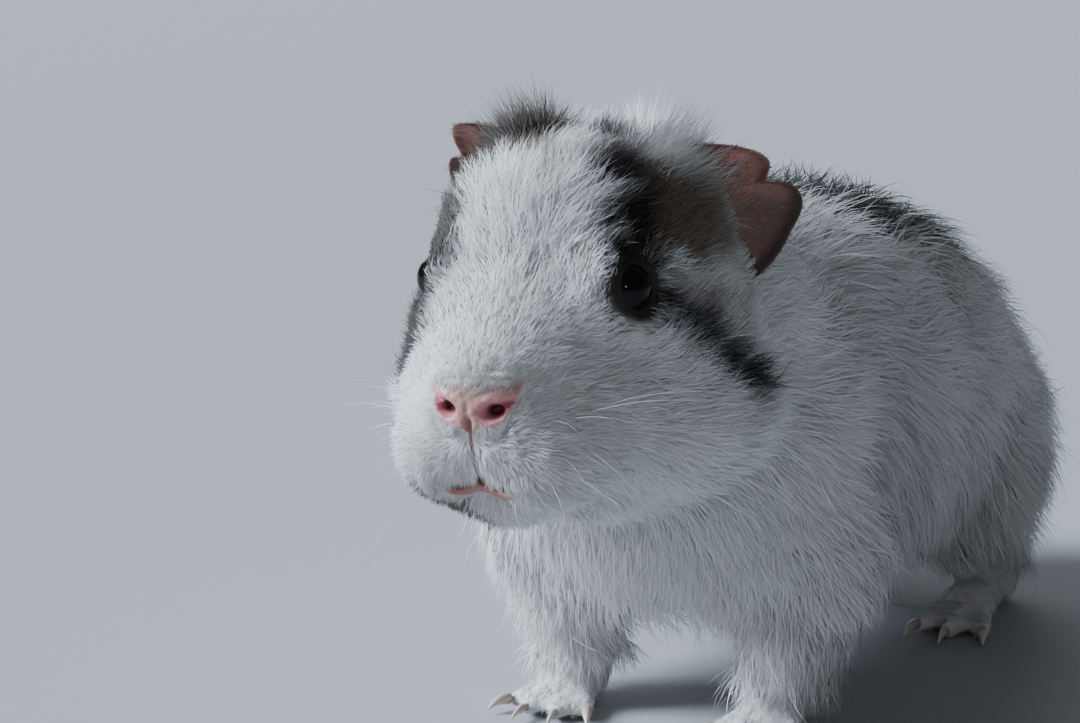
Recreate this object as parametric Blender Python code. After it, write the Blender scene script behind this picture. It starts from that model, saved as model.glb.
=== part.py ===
"""A life-size standing guinea pig, as a still museum model, in separate named solids.

The animal faces -Y, its left side is +X, and it stands on the floor at z = 0. It is shaped as a sculptor
blocks it out: a barrel drawn through a row of body sections, and rounded masses for skull, muzzle, cheeks
and haunches, joined and smoothed into one body, which thin cuts then part into head, neck, trunk and legs.
Ears, eyes, feet and claws are shapes of their own. The solids reach out to the tips of the coat.

Places are given in millimetres as (side, back, up): side is to the animal's left of its middle plane,
back is behind the tip of its nose, and up is above the floor, or on the head above the nose.
"""

import math

import bmesh
import bpy
from mathutils import Matrix, Vector

MM = 0.001
SIDES = {"left": 1, "right": -1}

# Driving dimensions, in millimetres and degrees.
NOSE_UP = 80  # height of the middle of the nose
HEAD_TILT = 3.6  # how far the head is bowed, turned about the nose
GAP = 0.35  # clear space left by each parting cut
BODY_GRID = 1.8  # grid on which the body's masses are joined
FOOT_GRID = 0.8  # the same for a foot
BODY_FACES = 2550  # triangles that the joined body is brought down to
FOOT_FACES = 260  # and a foot
ANKLE_UP = 10  # height of the cuts above the feet
FLOOR_REACH = 20  # how far a leg's region runs on below the floor
SHARP_FROM = 40  # an edge turning more than this stays crisp

# Sections of the barrel: how far back, half its width, its top and its underside.
BODY_SECTIONS = (
    (58, 27, 112, 56),
    (72, 35.5, 117, 36),
    (88, 41, 111, 21),
    (105, 44, 107, 17),
    (128, 46.5, 105.5, 15),
    (152, 48, 105.5, 13.5),
    (176, 48.5, 104.5, 13),
    (198, 46.5, 101, 13.5),
    (216, 43, 95, 16),
    (232, 36, 85.5, 22),
    (246, 25, 73, 31),
    (254, 14, 62, 40),
    (257, 5, 55, 47),
)
BARREL_RINGS = 48
BARREL_CORNERS = 48

# On the head, up is above the nose.
EYE = (17.0, 28.0, 15.6)
EYE_RADIUS = 5.2
NOSTRIL = (4.2, 1.2, 0.2)
MOUTH = (0, 5.5, -15.6)
EAR_ROOT = (23.1, 58.6, 23.9)
EAR_THICK = 1.5
EAR_SWING = 32
EAR_LEAN = 20

FOREFOOT = (22.5, 98, 0)
HINDFOOT = (36, 206, 0)

COAT_WHITE = (0.78, 0.76, 0.74)
BARE_SKIN = (0.55, 0.33, 0.30)
EAR_SKIN = (0.36, 0.22, 0.19)
EYE_BLACK = (0.012, 0.010, 0.010)
CLAW_HORN = (0.62, 0.50, 0.42)


def clear_scene():
    """Removes every object that the file opened with."""
    for obj in list(bpy.data.objects):
        bpy.data.objects.remove(obj)


def material(name, colour, roughness):
    """A plain finish of that colour."""
    made = bpy.data.materials.new(name)
    made.use_nodes = True
    shader = made.node_tree.nodes["Principled BSDF"]
    shader.inputs["Base Color"].default_value = (*colour, 1)
    shader.inputs["Roughness"].default_value = roughness
    shader.inputs["Metallic"].default_value = 0
    return made


def head_turn():
    """The bow of the head as a matrix."""
    return Matrix.Rotation(math.radians(HEAD_TILT), 4, "X")


def on_head(side, back, above_nose):
    """A point of the head as (side, back, up) of the whole animal."""
    turned = head_turn() @ Vector((side, back, above_nose))
    return turned + Vector((0, 0, NOSE_UP))


def new_object(name, bm, finish=None, smooth=True):
    """An object made from a bmesh in millimetres, which is then freed."""
    bm.transform(Matrix.Scale(MM, 4))
    mesh = bpy.data.meshes.new(name)
    bm.to_mesh(mesh)
    bm.free()
    if smooth:
        mesh.shade_smooth()
    if finish:
        mesh.materials.append(finish)
    obj = bpy.data.objects.new(name, mesh)
    bpy.context.scene.collection.objects.link(obj)
    return obj


def helper(obj):
    """Marks an object as a guide or cutter, which is no part of the animal."""
    obj.hide_render = True
    obj.display_type = "WIRE"
    return obj


def settle(obj):
    """Gives an object the mesh that its modifiers make, and takes the modifiers off."""
    graph = bpy.context.evaluated_depsgraph_get()
    mesh = bpy.data.meshes.new_from_object(obj.evaluated_get(graph))
    obj.modifiers.clear()
    obj.data = mesh
    mesh.name = obj.name
    return obj


# ---------------------------------------------------------------- rounded masses


def add_mass(bm, centre, radii, turn=None):
    """Adds one egg-shaped mass: radii are (side, back, up), and turn is a matrix."""
    shape = Matrix.Diagonal((*radii, 1))
    matrix = Matrix.Translation(Vector(centre)) @ (turn or Matrix()) @ shape
    bmesh.ops.create_uvsphere(bm, u_segments=32, v_segments=18, radius=1, matrix=matrix)


def add_head_mass(bm, centre, radii, pitch=0):
    """Adds a mass placed on the head, its back end lifted by pitch, and its mirror image if it is off the middle."""
    side, back, above = centre
    turn = head_turn() @ Matrix.Rotation(math.radians(pitch), 4, "X")
    for sign in (1, -1) if side else (1,):
        add_mass(bm, on_head(sign * side, back, above), radii, turn)


def add_limb(bm, start, end, start_radius, end_radius, steps):
    """Adds a tapering limb as a row of balls from start to end."""
    for step in range(steps + 1):
        share = step / steps
        centre = Vector(start).lerp(Vector(end), share)
        radius = start_radius + (end_radius - start_radius) * share
        add_mass(bm, centre, (radius, radius, radius))


def add_head(bm):
    """Blunt muzzle, sloping bridge, broad crown and the full cheeks of a rough-coated animal."""
    add_head_mass(bm, (0, 6.5, -0.5), (9.5, 6.5, 8.5))  # nose
    add_head_mass(bm, (0, 19, -6), (18.5, 18, 16.5))  # muzzle
    add_head_mass(bm, (8.5, 13, -10.5), (11.5, 12, 10.5))  # whisker pads
    add_head_mass(bm, (0, 28, 9), (17.5, 27, 13.5), pitch=36)  # bridge of the nose
    add_head_mass(bm, (0, 50, 17.5), (28, 31, 26))  # skull and crown
    add_head_mass(bm, (12, 33, 12), (11.5, 16, 13), pitch=25)  # brows
    add_head_mass(bm, (13, 46, 3), (18.5, 26, 18.5))  # temples
    add_head_mass(bm, (9.5, 29, -5), (15.5, 20, 16))  # sides of the muzzle
    add_head_mass(bm, (15, 48, -8), (22, 27, 20))  # cheeks and jowls
    add_head_mass(bm, (0, 20, -18), (11.5, 14, 8))  # chin
    add_head_mass(bm, (0, 52, -16), (25, 31, 18))  # throat


def section_at(back):
    """Half width, top and underside of the barrel at a place, on a smooth curve through its sections."""
    rows = BODY_SECTIONS
    i = max(k for k in range(len(rows) - 1) if rows[k][0] <= back)
    before, here, after, beyond = (rows[min(max(k, 0), len(rows) - 1)] for k in range(i - 1, i + 3))
    length = after[0] - here[0]
    share = (back - here[0]) / length
    found = []
    for column in (1, 2, 3):
        leave = (after[column] - before[column]) / (after[0] - before[0]) * length
        arrive = (beyond[column] - here[column]) / (beyond[0] - here[0]) * length
        start_weight = 2 * share**3 - 3 * share**2 + 1
        found.append(
            start_weight * here[column]
            + (1 - start_weight) * after[column]
            + (share**3 - 2 * share**2 + share) * leave
            + (share**3 - share**2) * arrive
        )
    return found


def add_barrel(bm):
    """Neck, ribs, belly and rump as oval rings through the body's sections, closed at both ends.

    The rings lie closer together towards the rump's end, along a quarter of a sine.
    """
    first, last = BODY_SECTIONS[0][0], BODY_SECTIONS[-1][0]
    rings = []
    for number in range(BARREL_RINGS):
        back = first + (last - first) * math.sin(0.5 * math.pi * number / BARREL_RINGS)
        half_width, top, underside = section_at(back)
        middle, half_height = (top + underside) / 2, (top - underside) / 2
        turns = [2 * math.pi * corner / BARREL_CORNERS for corner in range(BARREL_CORNERS)]
        rings.append([(half_width * math.cos(t), back, middle + half_height * math.sin(t)) for t in turns])
    loft(bm, rings)


def add_legs(bm):
    """Upper arms and forearms, thighs and shanks, down to just above the feet."""
    for sign in SIDES.values():
        side, back, _ = FOREFOOT
        add_mass(bm, (sign * 29, back + 6, 46), (17, 22, 28))  # upper arm
        add_limb(bm, (sign * 27, back + 3, 40), (sign * side, back, 8), 15, 11.5, steps=8)
        side, back, _ = HINDFOOT
        add_mass(bm, (sign * 29, back - 3, 42), (22, 39, 31))  # thigh
        add_limb(bm, (sign * 34, back, 28), (sign * side, back + 6, 8), 15, 11, steps=6)


def loft(bm, rings):
    """Closes a row of rings of equal length, each a list of points, into one solid with flat ends."""
    loops = [[bm.verts.new(point) for point in ring] for ring in rings]
    count = len(loops[0])
    faces = [loops[0][::-1], loops[-1]]
    for lower, upper in zip(loops, loops[1:]):
        for i in range(count):
            j = (i + 1) % count
            faces.append((lower[i], lower[j], upper[j], upper[i]))
    made = [bm.faces.new(face) for face in faces]
    bmesh.ops.recalc_face_normals(bm, faces=made)


def swell(bm, amount):
    """Moves every face of a solid outwards by that amount."""
    bm.normal_update()
    moves = [(vertex, vertex.normal * vertex.calc_shell_factor() * amount) for vertex in bm.verts]
    for vertex, move in moves:
        vertex.co += move


def fused(name, bm, grid, rounds, faces):
    """Joins overlapping masses on a grid, smooths the creases between them, and thins the mesh to that many faces.

    The Remesh modifier keeps only the outer surface, so the masses become one body.
    """
    obj = helper(new_object(name, bm))
    remesh = obj.modifiers.new("join", "REMESH")
    remesh.mode = "VOXEL"
    remesh.voxel_size = grid * MM
    smooth = obj.modifiers.new("soften", "SMOOTH")
    smooth.factor = 0.5
    smooth.iterations = rounds
    obj.modifiers.new("triangles", "TRIANGULATE")
    settle(obj)
    thin = obj.modifiers.new("thin", "DECIMATE")
    thin.ratio = faces / len(obj.data.polygons)
    return settle(obj)


# ---------------------------------------------------------------- cutters


def dome_cutter(name, centre, radii, grow=0):
    """A domed region round a leg: half an egg on top, and straight walls below it down past the floor."""
    side, back, up = centre
    wide, long, high = (radius + grow for radius in radii)
    arc = [math.radians(angle) for angle in (0, 25, 50, 75)]
    outline = [(1, -FLOOR_REACH)] + [(math.cos(a), up + high * math.sin(a)) for a in arc]
    corners = 20
    turns = [2 * math.pi * i / corners for i in range(corners)]
    rings = [
        [Vector((side + wide * share * math.cos(t), back + long * share * math.sin(t), z)) for t in turns]
        for share, z in outline
    ]
    bm = bmesh.new()
    loft(bm, rings)
    return helper(new_object(name, bm, smooth=False))


def block_behind(name, back, up, lean, shift=0):
    """A large block that holds all that is behind a plane through (0, back, up), whose top leans back by degrees.

    shift moves the plane further back.
    """
    reach = 300
    bm = bmesh.new()
    turn = Matrix.Rotation(math.radians(-lean), 4, "X")
    move = Matrix.Translation(Vector((0, reach + shift, 0)))
    bmesh.ops.create_cube(bm, size=2 * reach, matrix=Matrix.Translation((0, back, up)) @ turn @ move)
    return helper(new_object(name, bm, smooth=False))


def block_below(name, up):
    """A large block that holds all that is under a height."""
    reach = 300
    bm = bmesh.new()
    bmesh.ops.create_cube(bm, size=2 * reach, matrix=Matrix.Translation((0, reach / 2, up - reach)))
    return helper(new_object(name, bm, smooth=False))


def egg_cutter(name, centre, radii, turn=None):
    """An egg-shaped cutter of those radii, turned by a matrix."""
    bm = bmesh.new()
    matrix = Matrix.Translation(centre) @ (turn or Matrix()) @ Matrix.Diagonal((*radii, 1))
    bmesh.ops.create_uvsphere(bm, u_segments=12, v_segments=7, radius=1, matrix=matrix)
    return helper(new_object(name, bm, smooth=False))


def boolean(obj, operation, cutter):
    """Adds an exact Boolean with one cutter."""
    modifier = obj.modifiers.new(cutter.name, "BOOLEAN")
    modifier.operation = operation
    modifier.solver = "EXACT"
    modifier.object = cutter


def part(name, shape, finish, within=(), without=()):
    """One node: what a shape has inside every region of within and outside every region of without."""
    obj = bpy.data.objects.new(name, shape.data.copy())
    bpy.context.scene.collection.objects.link(obj)
    obj.data.materials.clear()
    obj.data.materials.append(finish)
    for region in within:
        boolean(obj, "INTERSECT", region)
    for region in without:
        boolean(obj, "DIFFERENCE", region)
    settle(obj)
    obj.data.shade_smooth()
    obj.data.set_sharp_from_angle(angle=math.radians(SHARP_FROM))
    return obj


# ---------------------------------------------------------------- ears

EAR_TURNS = [-24 + 10 * k for k in range(20)]  # degrees round the ear, from its upper root to its lower one
EAR_REACHES = [0.1, 0.5, 0.8, 1.0]  # shares of the way from the root to the rim


def ear_rim(turn):
    """The rim's distance from the middle of the root, at a turn in degrees from straight up.

    It is a round petal, a little deeper below, drawn out to a blunt corner behind, with one notch above that.
    """
    petal = 15.0 - 0.9 * math.cos(math.radians(turn))
    corner = 2.0 * math.exp(-(((turn - 82) / 16) ** 2))
    notch = 3.4 * math.exp(-(((turn - 58) / 8) ** 2))
    return petal + corner - notch


def ear_cup(reach, turn):
    """How far the petal is hollowed behind its flat plane: deepest half way out, with its top edge curled forward."""
    bowl = 4.2 * math.sin(math.pi * min(reach * 0.85, 1))
    curl = -3.0 * reach**4 * math.exp(-(((turn - 8) / 30) ** 2))
    return bowl + curl


def ear(name, sign, finish=None, grow=0):
    """An ear: a cupped petal, thinner at its rim, that stands out from the side of the crown and opens forward."""
    bm = bmesh.new()
    faces_of_ear = []
    for front in (1, -1):
        grid = []
        for reach in EAR_REACHES:
            row = []
            for turn in EAR_TURNS:
                radius = reach * ear_rim(turn)
                half = 0.5 * EAR_THICK * (1 - 0.3 * reach**6)
                out, up = radius * math.sin(math.radians(turn)), radius * math.cos(math.radians(turn))
                row.append(bm.verts.new((out, ear_cup(reach, turn) - front * half, up)))
            grid.append(row)
        faces_of_ear.append(grid)
    rows, columns = len(EAR_REACHES), len(EAR_TURNS)
    for grid in faces_of_ear:
        for i in range(rows - 1):
            for j in range(columns - 1):
                bm.faces.new((grid[i][j], grid[i][j + 1], grid[i + 1][j + 1], grid[i + 1][j]))
    rim = [(0, j) for j in range(columns)] + [(i, columns - 1) for i in range(1, rows)]
    rim += [(rows - 1, j) for j in range(columns - 2, -1, -1)] + [(i, 0) for i in range(rows - 2, 0, -1)]
    front, rear = faces_of_ear
    for (i, j), (k, m) in zip(rim, rim[1:] + rim[:1]):
        bm.faces.new((front[i][j], front[k][m], rear[k][m], rear[i][j]))
    # The top of the root leans forward, and the petal swings out and back from the side of the head.
    swing = Matrix.Rotation(math.radians(EAR_SWING), 4, "Z")
    lean = Matrix.Rotation(math.radians(EAR_LEAN), 4, "X")
    bm.transform(Matrix.Translation(on_head(*EAR_ROOT)) @ swing @ lean)
    bm.transform(Matrix.Diagonal((sign, 1, 1, 1)))
    bmesh.ops.recalc_face_normals(bm, faces=bm.faces)
    bmesh.ops.triangulate(bm, faces=bm.faces)
    swell(bm, grow)
    return new_object(name, bm, finish)


# ---------------------------------------------------------------- feet and claws

# Each toe: (turn outwards in degrees, length beyond the pad, where it starts across the pad).
FORE_TOES = ((-26, 8.0, -4.6), (-8, 10.5, -1.6), (9, 10.0, 1.8), (30, 7.0, 4.9))
HIND_TOES = ((-13, 11.0, -4.4), (1, 13.5, 0.0), (16, 11.0, 4.5))
FORE_PAD, HIND_PAD = 8, 18  # how far before the middle of the foot the toes start
TOE_UP = 2.1
FORE_TOE_RADIUS = 2.3
HIND_TOE_RADIUS = 2.7


def toe_line(foot, toe, pad, sign):
    """A toe's start, its end and its direction."""
    turn, length, across = toe
    side, back, _ = foot
    way = Vector((sign * math.sin(math.radians(turn)), -math.cos(math.radians(turn)), 0))
    start = Vector((sign * (side + across), back - pad, TOE_UP + 1))
    end = start + way * length
    end.z = TOE_UP
    return start, end, way


def add_forefoot(bm, sign):
    """Wrist, palm and four short toes."""
    side, back, _ = FOREFOOT
    add_limb(bm, (sign * side, back, 16), (sign * side, back - 1, 6), 8.6, 7.0, steps=4)
    add_mass(bm, (sign * side, back - 4, 4.2), (7.2, 8, 4.8))
    for toe in FORE_TOES:
        start, end, _ = toe_line(FOREFOOT, toe, FORE_PAD, sign)
        add_limb(bm, start, end, FORE_TOE_RADIUS + 0.3, FORE_TOE_RADIUS, steps=5)


def add_hindfoot(bm, sign):
    """Hock, long sole and three toes."""
    side, back, _ = HINDFOOT
    add_limb(bm, (sign * side, back + 8, 16), (sign * side, back + 7, 7), 8.6, 7.0, steps=4)
    add_limb(bm, (sign * side, back + 10, 5.2), (sign * side, back - 12, 4.4), 6.2, 5.4, steps=8)
    add_mass(bm, (sign * side, back - 13, 4), (7.4, 7.5, 4.6))
    for toe in HIND_TOES:
        start, end, _ = toe_line(HINDFOOT, toe, HIND_PAD, sign)
        add_limb(bm, start, end, HIND_TOE_RADIUS + 0.3, HIND_TOE_RADIUS, steps=5)


def claw(name, start, way, length, radius, finish):
    """A curved, tapering claw that leaves a toe level and bends down towards the floor."""
    steps, corners = 4, 6
    drop = 0.45 * (start.z + 0.9)
    across = way.cross(Vector((0, 0, 1)))
    rings = []
    for step in range(steps + 1):
        share = step / steps
        centre = start + way * length * share - Vector((0, 0, drop * share**1.6))
        size = radius * (1 - 0.72 * share**1.3)
        slope = math.atan2(drop * 1.6 * share**0.6, length)
        upright = Vector((0, 0, math.cos(slope))) + way * math.sin(slope)
        turns = [2 * math.pi * corner / corners for corner in range(corners)]
        rings.append([centre + across * size * 0.8 * math.cos(t) + upright * size * math.sin(t) for t in turns])
    bm = bmesh.new()
    loft(bm, rings)
    bmesh.ops.triangulate(bm, faces=bm.faces)
    return new_object(name, bm, finish)


def build_foot(name, adder, floor, ankle, finish):
    """One foot, cut off level at the ankle and flat on the floor."""
    sign = SIDES[name.rsplit("_", 1)[1]]
    bm = bmesh.new()
    adder(bm, sign)
    shape = fused(f"{name}_shape", bm, FOOT_GRID, 4, FOOT_FACES)
    part(name, shape, finish, [ankle], [floor])


def build_feet(bare, horn):
    """Four feet and their fourteen claws, each a gap beyond the end of its toe."""
    floor = block_below("under_floor", 0)
    ankle = block_below("ankle", ANKLE_UP - GAP)
    for side_name, sign in SIDES.items():
        build_foot(f"forefoot_{side_name}", add_forefoot, floor, ankle, bare)
        build_foot(f"hindfoot_{side_name}", add_hindfoot, floor, ankle, bare)
        plans = (
            ("fore", FOREFOOT, FORE_TOES, FORE_PAD, FORE_TOE_RADIUS, 4.6, 1.15),
            ("hind", HINDFOOT, HIND_TOES, HIND_PAD, HIND_TOE_RADIUS, 6.0, 1.35),
        )
        for kind, foot, toes, pad, toe_radius, length, radius in plans:
            for number, toe in enumerate(toes, 1):
                _, end, way = toe_line(foot, toe, pad, sign)
                start = end + way * (toe_radius * 0.86 + GAP) + Vector((0, 0, 0.3))
                claw(f"claw_{kind}_{side_name}_{number}", start, way, length, radius, horn)


# ---------------------------------------------------------------- the animal


def build_flesh(coat):
    """Trunk, neck and the four legs, parted from one smoothed body. It returns the head."""
    bm = bmesh.new()
    add_head(bm)
    add_barrel(bm)
    add_legs(bm)
    body = fused("body", bm, BODY_GRID, 18, BODY_FACES)

    ankle = block_below("leg_ends", ANKLE_UP)
    leg_regions = {
        "foreleg": ((27.5, FOREFOOT[1] + 5, 34), (21, 23, 30)),
        "hindleg": ((37, HINDFOOT[1] - 2, 32), (23, 38, 38)),
    }
    sockets = {}
    for kind, ((side, back, up), radii) in leg_regions.items():
        for side_name, sign in SIDES.items():
            name, at = f"{kind}_{side_name}", (sign * side, back, up)
            region = dome_cutter(f"region_{name}", at, radii)
            sockets[name] = dome_cutter(f"socket_{name}", at, radii, GAP)
            part(name, body, coat, [region], [ankle])

    # Two leaning cuts: behind the crown and jaw, and before the shoulders.
    nape = {"back": 73, "up": 78, "lean": 14}
    withers = {"back": 94, "up": 62, "lean": 12}
    behind_nape = block_behind("behind_nape", **nape)
    behind_nape_gap = block_behind("behind_nape_gap", **nape, shift=GAP)
    behind_withers = block_behind("behind_withers", **withers)
    behind_withers_gap = block_behind("behind_withers_gap", **withers, shift=GAP)
    fore_sockets = [cutter for name, cutter in sockets.items() if "fore" in name]
    part("trunk", body, coat, [behind_withers_gap], sockets.values())
    part("neck", body, coat, [behind_nape_gap], [behind_withers, *fore_sockets])
    return part("head", body, coat, [], [behind_nape])


def carve_face(head):
    """Opens the head for eyes, ears, nostrils and mouth."""
    side, back, above = EYE
    for side_name, sign in SIDES.items():
        socket = egg_cutter(f"socket_eye_{side_name}", on_head(sign * side, back, above), [EYE_RADIUS + GAP] * 3)
        boolean(head, "DIFFERENCE", socket)
        # A shallow dish bares the eye from the coat round it.
        swing = Matrix.Rotation(math.radians(sign * -14), 4, "Z")
        dish = egg_cutter(f"dish_eye_{side_name}", on_head(sign * (side + 8), back - 1.5, above), (6.0, 6.0, 5.6), swing)
        boolean(head, "DIFFERENCE", dish)
        boolean(head, "DIFFERENCE", helper(ear(f"socket_ear_{side_name}", sign, grow=GAP)))
        slant = Matrix.Rotation(math.radians(sign * 35), 4, "Y")
        nostril_at = on_head(sign * NOSTRIL[0], *NOSTRIL[1:])
        boolean(head, "DIFFERENCE", egg_cutter(f"nostril_{side_name}", nostril_at, (2.4, 2.6, 1.3), slant))
    lips = Matrix.Rotation(math.radians(-8), 4, "X")
    boolean(head, "DIFFERENCE", egg_cutter("mouth", on_head(*MOUTH), (8.5, 6.5, 0.9), lips))
    settle(head)


def build_eye(name, sign, finish):
    """One eyeball, its poles to the sides."""
    side, back, above = EYE
    bm = bmesh.new()
    matrix = Matrix.Translation(on_head(sign * side, back, above)) @ Matrix.Rotation(math.radians(90), 4, "Y")
    bmesh.ops.create_uvsphere(bm, u_segments=14, v_segments=8, radius=EYE_RADIUS, matrix=matrix)
    return new_object(name, bm, finish)


def centre_on_floor():
    """Moves everything so that the origin lies on the floor under the middle of the animal's length."""
    shown = [obj for obj in bpy.context.scene.objects if not obj.hide_render]
    lengths = [vertex.co.y for obj in shown for vertex in obj.data.vertices]
    middle = (min(lengths) + max(lengths)) / 2
    for mesh in {obj.data for obj in bpy.context.scene.objects}:
        mesh.transform(Matrix.Translation((0, -middle, 0)))


def main():
    clear_scene()
    coat = material("coat_white", COAT_WHITE, 0.85)
    bare = material("bare_skin", BARE_SKIN, 0.6)
    ear_skin = material("ear_skin", EAR_SKIN, 0.6)
    eye_black = material("eye_black", EYE_BLACK, 0.08)
    horn = material("claw_horn", CLAW_HORN, 0.4)

    carve_face(build_flesh(coat))
    for side_name, sign in SIDES.items():
        ear(f"ear_{side_name}", sign, ear_skin)
        build_eye(f"eye_{side_name}", sign, eye_black)
    build_feet(bare, horn)
    centre_on_floor()


main()
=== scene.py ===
# %% [markdown]
# # A rough-coated guinea pig, life size
#
# The animal on the stand is only half of the work. Its solids give the true outline out to the tips of the
# coat, but they are smooth and parted by cuts. Here the body gets one skin without a seam, a coat of some
# 270,000 flat, tapering tufts that start on that skin and end near the old outline, a moist nose, lids, wet
# eyes and thin ears.
#
# The script reads as a lesson. Each part says what the piece is on the animal, and why it is made this way.

# %% Start from the solids
import math
import time

import bmesh
import bpy
import numpy as np
from mathutils import Matrix, Vector


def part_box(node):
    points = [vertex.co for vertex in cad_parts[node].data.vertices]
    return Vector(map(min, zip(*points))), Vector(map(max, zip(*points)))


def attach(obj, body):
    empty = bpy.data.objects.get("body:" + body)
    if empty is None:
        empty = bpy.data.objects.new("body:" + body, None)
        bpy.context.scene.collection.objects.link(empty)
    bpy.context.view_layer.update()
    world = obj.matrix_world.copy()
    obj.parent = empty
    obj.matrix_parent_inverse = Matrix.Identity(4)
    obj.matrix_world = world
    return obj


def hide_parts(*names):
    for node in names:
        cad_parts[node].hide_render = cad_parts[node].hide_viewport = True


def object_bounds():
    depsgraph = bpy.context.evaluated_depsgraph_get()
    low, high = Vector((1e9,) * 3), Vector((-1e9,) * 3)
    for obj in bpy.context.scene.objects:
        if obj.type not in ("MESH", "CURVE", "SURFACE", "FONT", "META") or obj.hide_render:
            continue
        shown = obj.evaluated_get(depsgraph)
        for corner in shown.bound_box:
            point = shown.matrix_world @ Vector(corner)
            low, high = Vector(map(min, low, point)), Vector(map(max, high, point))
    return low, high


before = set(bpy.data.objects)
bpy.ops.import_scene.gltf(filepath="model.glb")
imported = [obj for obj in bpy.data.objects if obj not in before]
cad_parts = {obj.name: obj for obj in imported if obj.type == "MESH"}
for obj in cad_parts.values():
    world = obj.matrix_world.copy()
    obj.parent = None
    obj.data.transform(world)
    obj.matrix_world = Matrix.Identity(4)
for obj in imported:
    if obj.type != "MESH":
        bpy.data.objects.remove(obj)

started = time.time()
solid_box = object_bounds()
print("nodes:", len(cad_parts), "box:", [tuple(round(c, 4) for c in corner) for corner in solid_box])

# %% [markdown]
# ## One set of places for everything
#
# All formulas below speak in millimetres of the animal's own space: side is to its left of the middle
# plane, back is behind the nose tip and up is above the floor. One pair of functions turns world metres
# into that space, so that the muzzle, the markings and the lie of the coat share the same numbers.

# %% Animal space
MM = 0.001
NOSE_Y = solid_box[0].y
SIDES = {"left": 1, "right": -1}


def to_animal(points):
    """World metres as (side, back, up) in millimetres."""
    return (np.asarray(points, dtype=float) - (0, NOSE_Y, 0)) / MM


def to_world(points):
    """(side, back, up) in millimetres as world metres."""
    return np.asarray(points, dtype=float) * MM + (0, NOSE_Y, 0)


def node_centre(name):
    """The middle of a solid's box, in animal space."""
    low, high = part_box(name)
    return to_animal([(low[k] + high[k]) / 2 for k in range(3)])


EYE_LEFT = node_centre("eye_left")
EYE_RADIUS = (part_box("eye_left")[1][2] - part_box("eye_left")[0][2]) / 2 / MM
NOSE_UP = 80.0
print("left eye at", EYE_LEFT.round(1), "radius", round(EYE_RADIUS, 2))

# %% [markdown]
# ## Small tools
#
# A smooth step between two values, a soft blend, a length, and a cheap noise made of a few sine waves are
# all that the formulas need. They take whole arrays at once.

# %% Array tools
def ramp(value, start, end):
    """0 at start and 1 at end, with a smooth cubic between; start may be the larger."""
    share = np.clip((value - start) / (end - start), 0, 1)
    return share * share * (3 - 2 * share)


def mix(first, second, share):
    """first where share is 0, second where it is 1."""
    return first + (second - first) * share


def size_of(vectors):
    """The length of each vector."""
    return np.sqrt((vectors**2).sum(-1))


def unit(vectors):
    """The vectors with length 1."""
    return vectors / np.maximum(size_of(vectors), 1e-9)[..., None]


def waves(points, wavelength, seed):
    """A soft noise from -1 to 1: six sine waves in random directions, about one wavelength long."""
    rng = np.random.default_rng(seed)
    total = np.zeros(points.shape[:-1])
    for _ in range(6):
        way = rng.normal(size=3)
        way *= 2 * math.pi / (wavelength * rng.uniform(0.7, 1.4)) / np.linalg.norm(way)
        total += np.sin(points @ way + rng.uniform(0, 2 * math.pi))
    return total / 2.6


def waves_3d(points, wavelength, seed):
    """Three soft noises side by side, by which points can be moved."""
    return np.stack([waves(points, wavelength, seed + k) for k in range(3)], -1)


def capsule(points, start, end, radius, soft):
    """1 inside a rounded stroke from start to end, and 0 beyond a soft edge of that width."""
    start, end = np.array(start, float), np.array(end, float)
    along = np.clip(((points - start) @ (end - start)) / ((end - start) @ (end - start)), 0, 1)
    away = size_of(points - start - along[:, None] * (end - start))
    return ramp(away, radius + soft, radius - soft)


def mirrored(point, sign):
    """A point of the left side for sign 1, and its mirror image on the right for sign -1."""
    return np.array(point, float) * (sign, 1, 1)


# %% [markdown]
# ## What the coat does from place to place
#
# Every property of the coat is a field over the body: how long the hair is, how steeply it leaves the
# skin, which way it lies. The skin is sunk by most of the height that the hair reaches, so skin and coat
# read the same fields and the tips end close to where the solids end.

# %% Where the parts of the body are
FORE = (22.5, 98.0)
HIND = (36.0, 208.0)


def leg_share(p):
    """1 on the four lower legs and 0 on the body."""
    side = np.abs(p[:, 0])
    fore = ramp(np.hypot(side - FORE[0], p[:, 1] - FORE[1]), 21, 14) * ramp(p[:, 2], 34, 20)
    hind = ramp(np.hypot(side - HIND[0], p[:, 1] - HIND[1]), 34, 20) * ramp(p[:, 2], 30, 17)
    return np.maximum(fore, hind)


def foot_share(p):
    """1 on the feet, which stand lower than any other part."""
    return ramp(p[:, 2], 11.5, 9.0)


def body_share(p):
    """0 on the head and 1 behind the shoulders; the change leans with the neck."""
    return ramp(p[:, 1] - 0.2 * (p[:, 2] - NOSE_UP), 58, 92)


def chest_share(p):
    """1 on the chest and between the fore legs, where the coat is close."""
    return ramp(p[:, 1], 116, 92) * ramp(p[:, 2], 80, 56)


def withers_share(p):
    """1 on top of the shoulders and the fore part of the back, where the coat stands fullest."""
    return ramp(p[:, 2], 86, 98) * ramp(p[:, 1], 90, 120) * ramp(p[:, 1], 200, 165)


def crown_share(p):
    """1 on the crest of upright hair between the ears."""
    return ramp(p[:, 2], 108, 118) * ramp(p[:, 1], 30, 42) * ramp(p[:, 1], 82, 68)


def tuft_share(p):
    """1 on the crown's two tall tufts: a slate one on the right and a white one on the left."""
    slate_tuft = capsule(p, (-9, 43, 123), (-17, 55, 119), 6.2, 3.0)
    white_tuft = capsule(p, (15, 44, 123), (23, 52, 118.5), 5.0, 3.0)
    return np.maximum(slate_tuft, white_tuft)


def on_left(p):
    """The points with those of the right side mirrored to the left."""
    left = p.copy()
    left[:, 0] = np.abs(left[:, 0])
    return left


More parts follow.
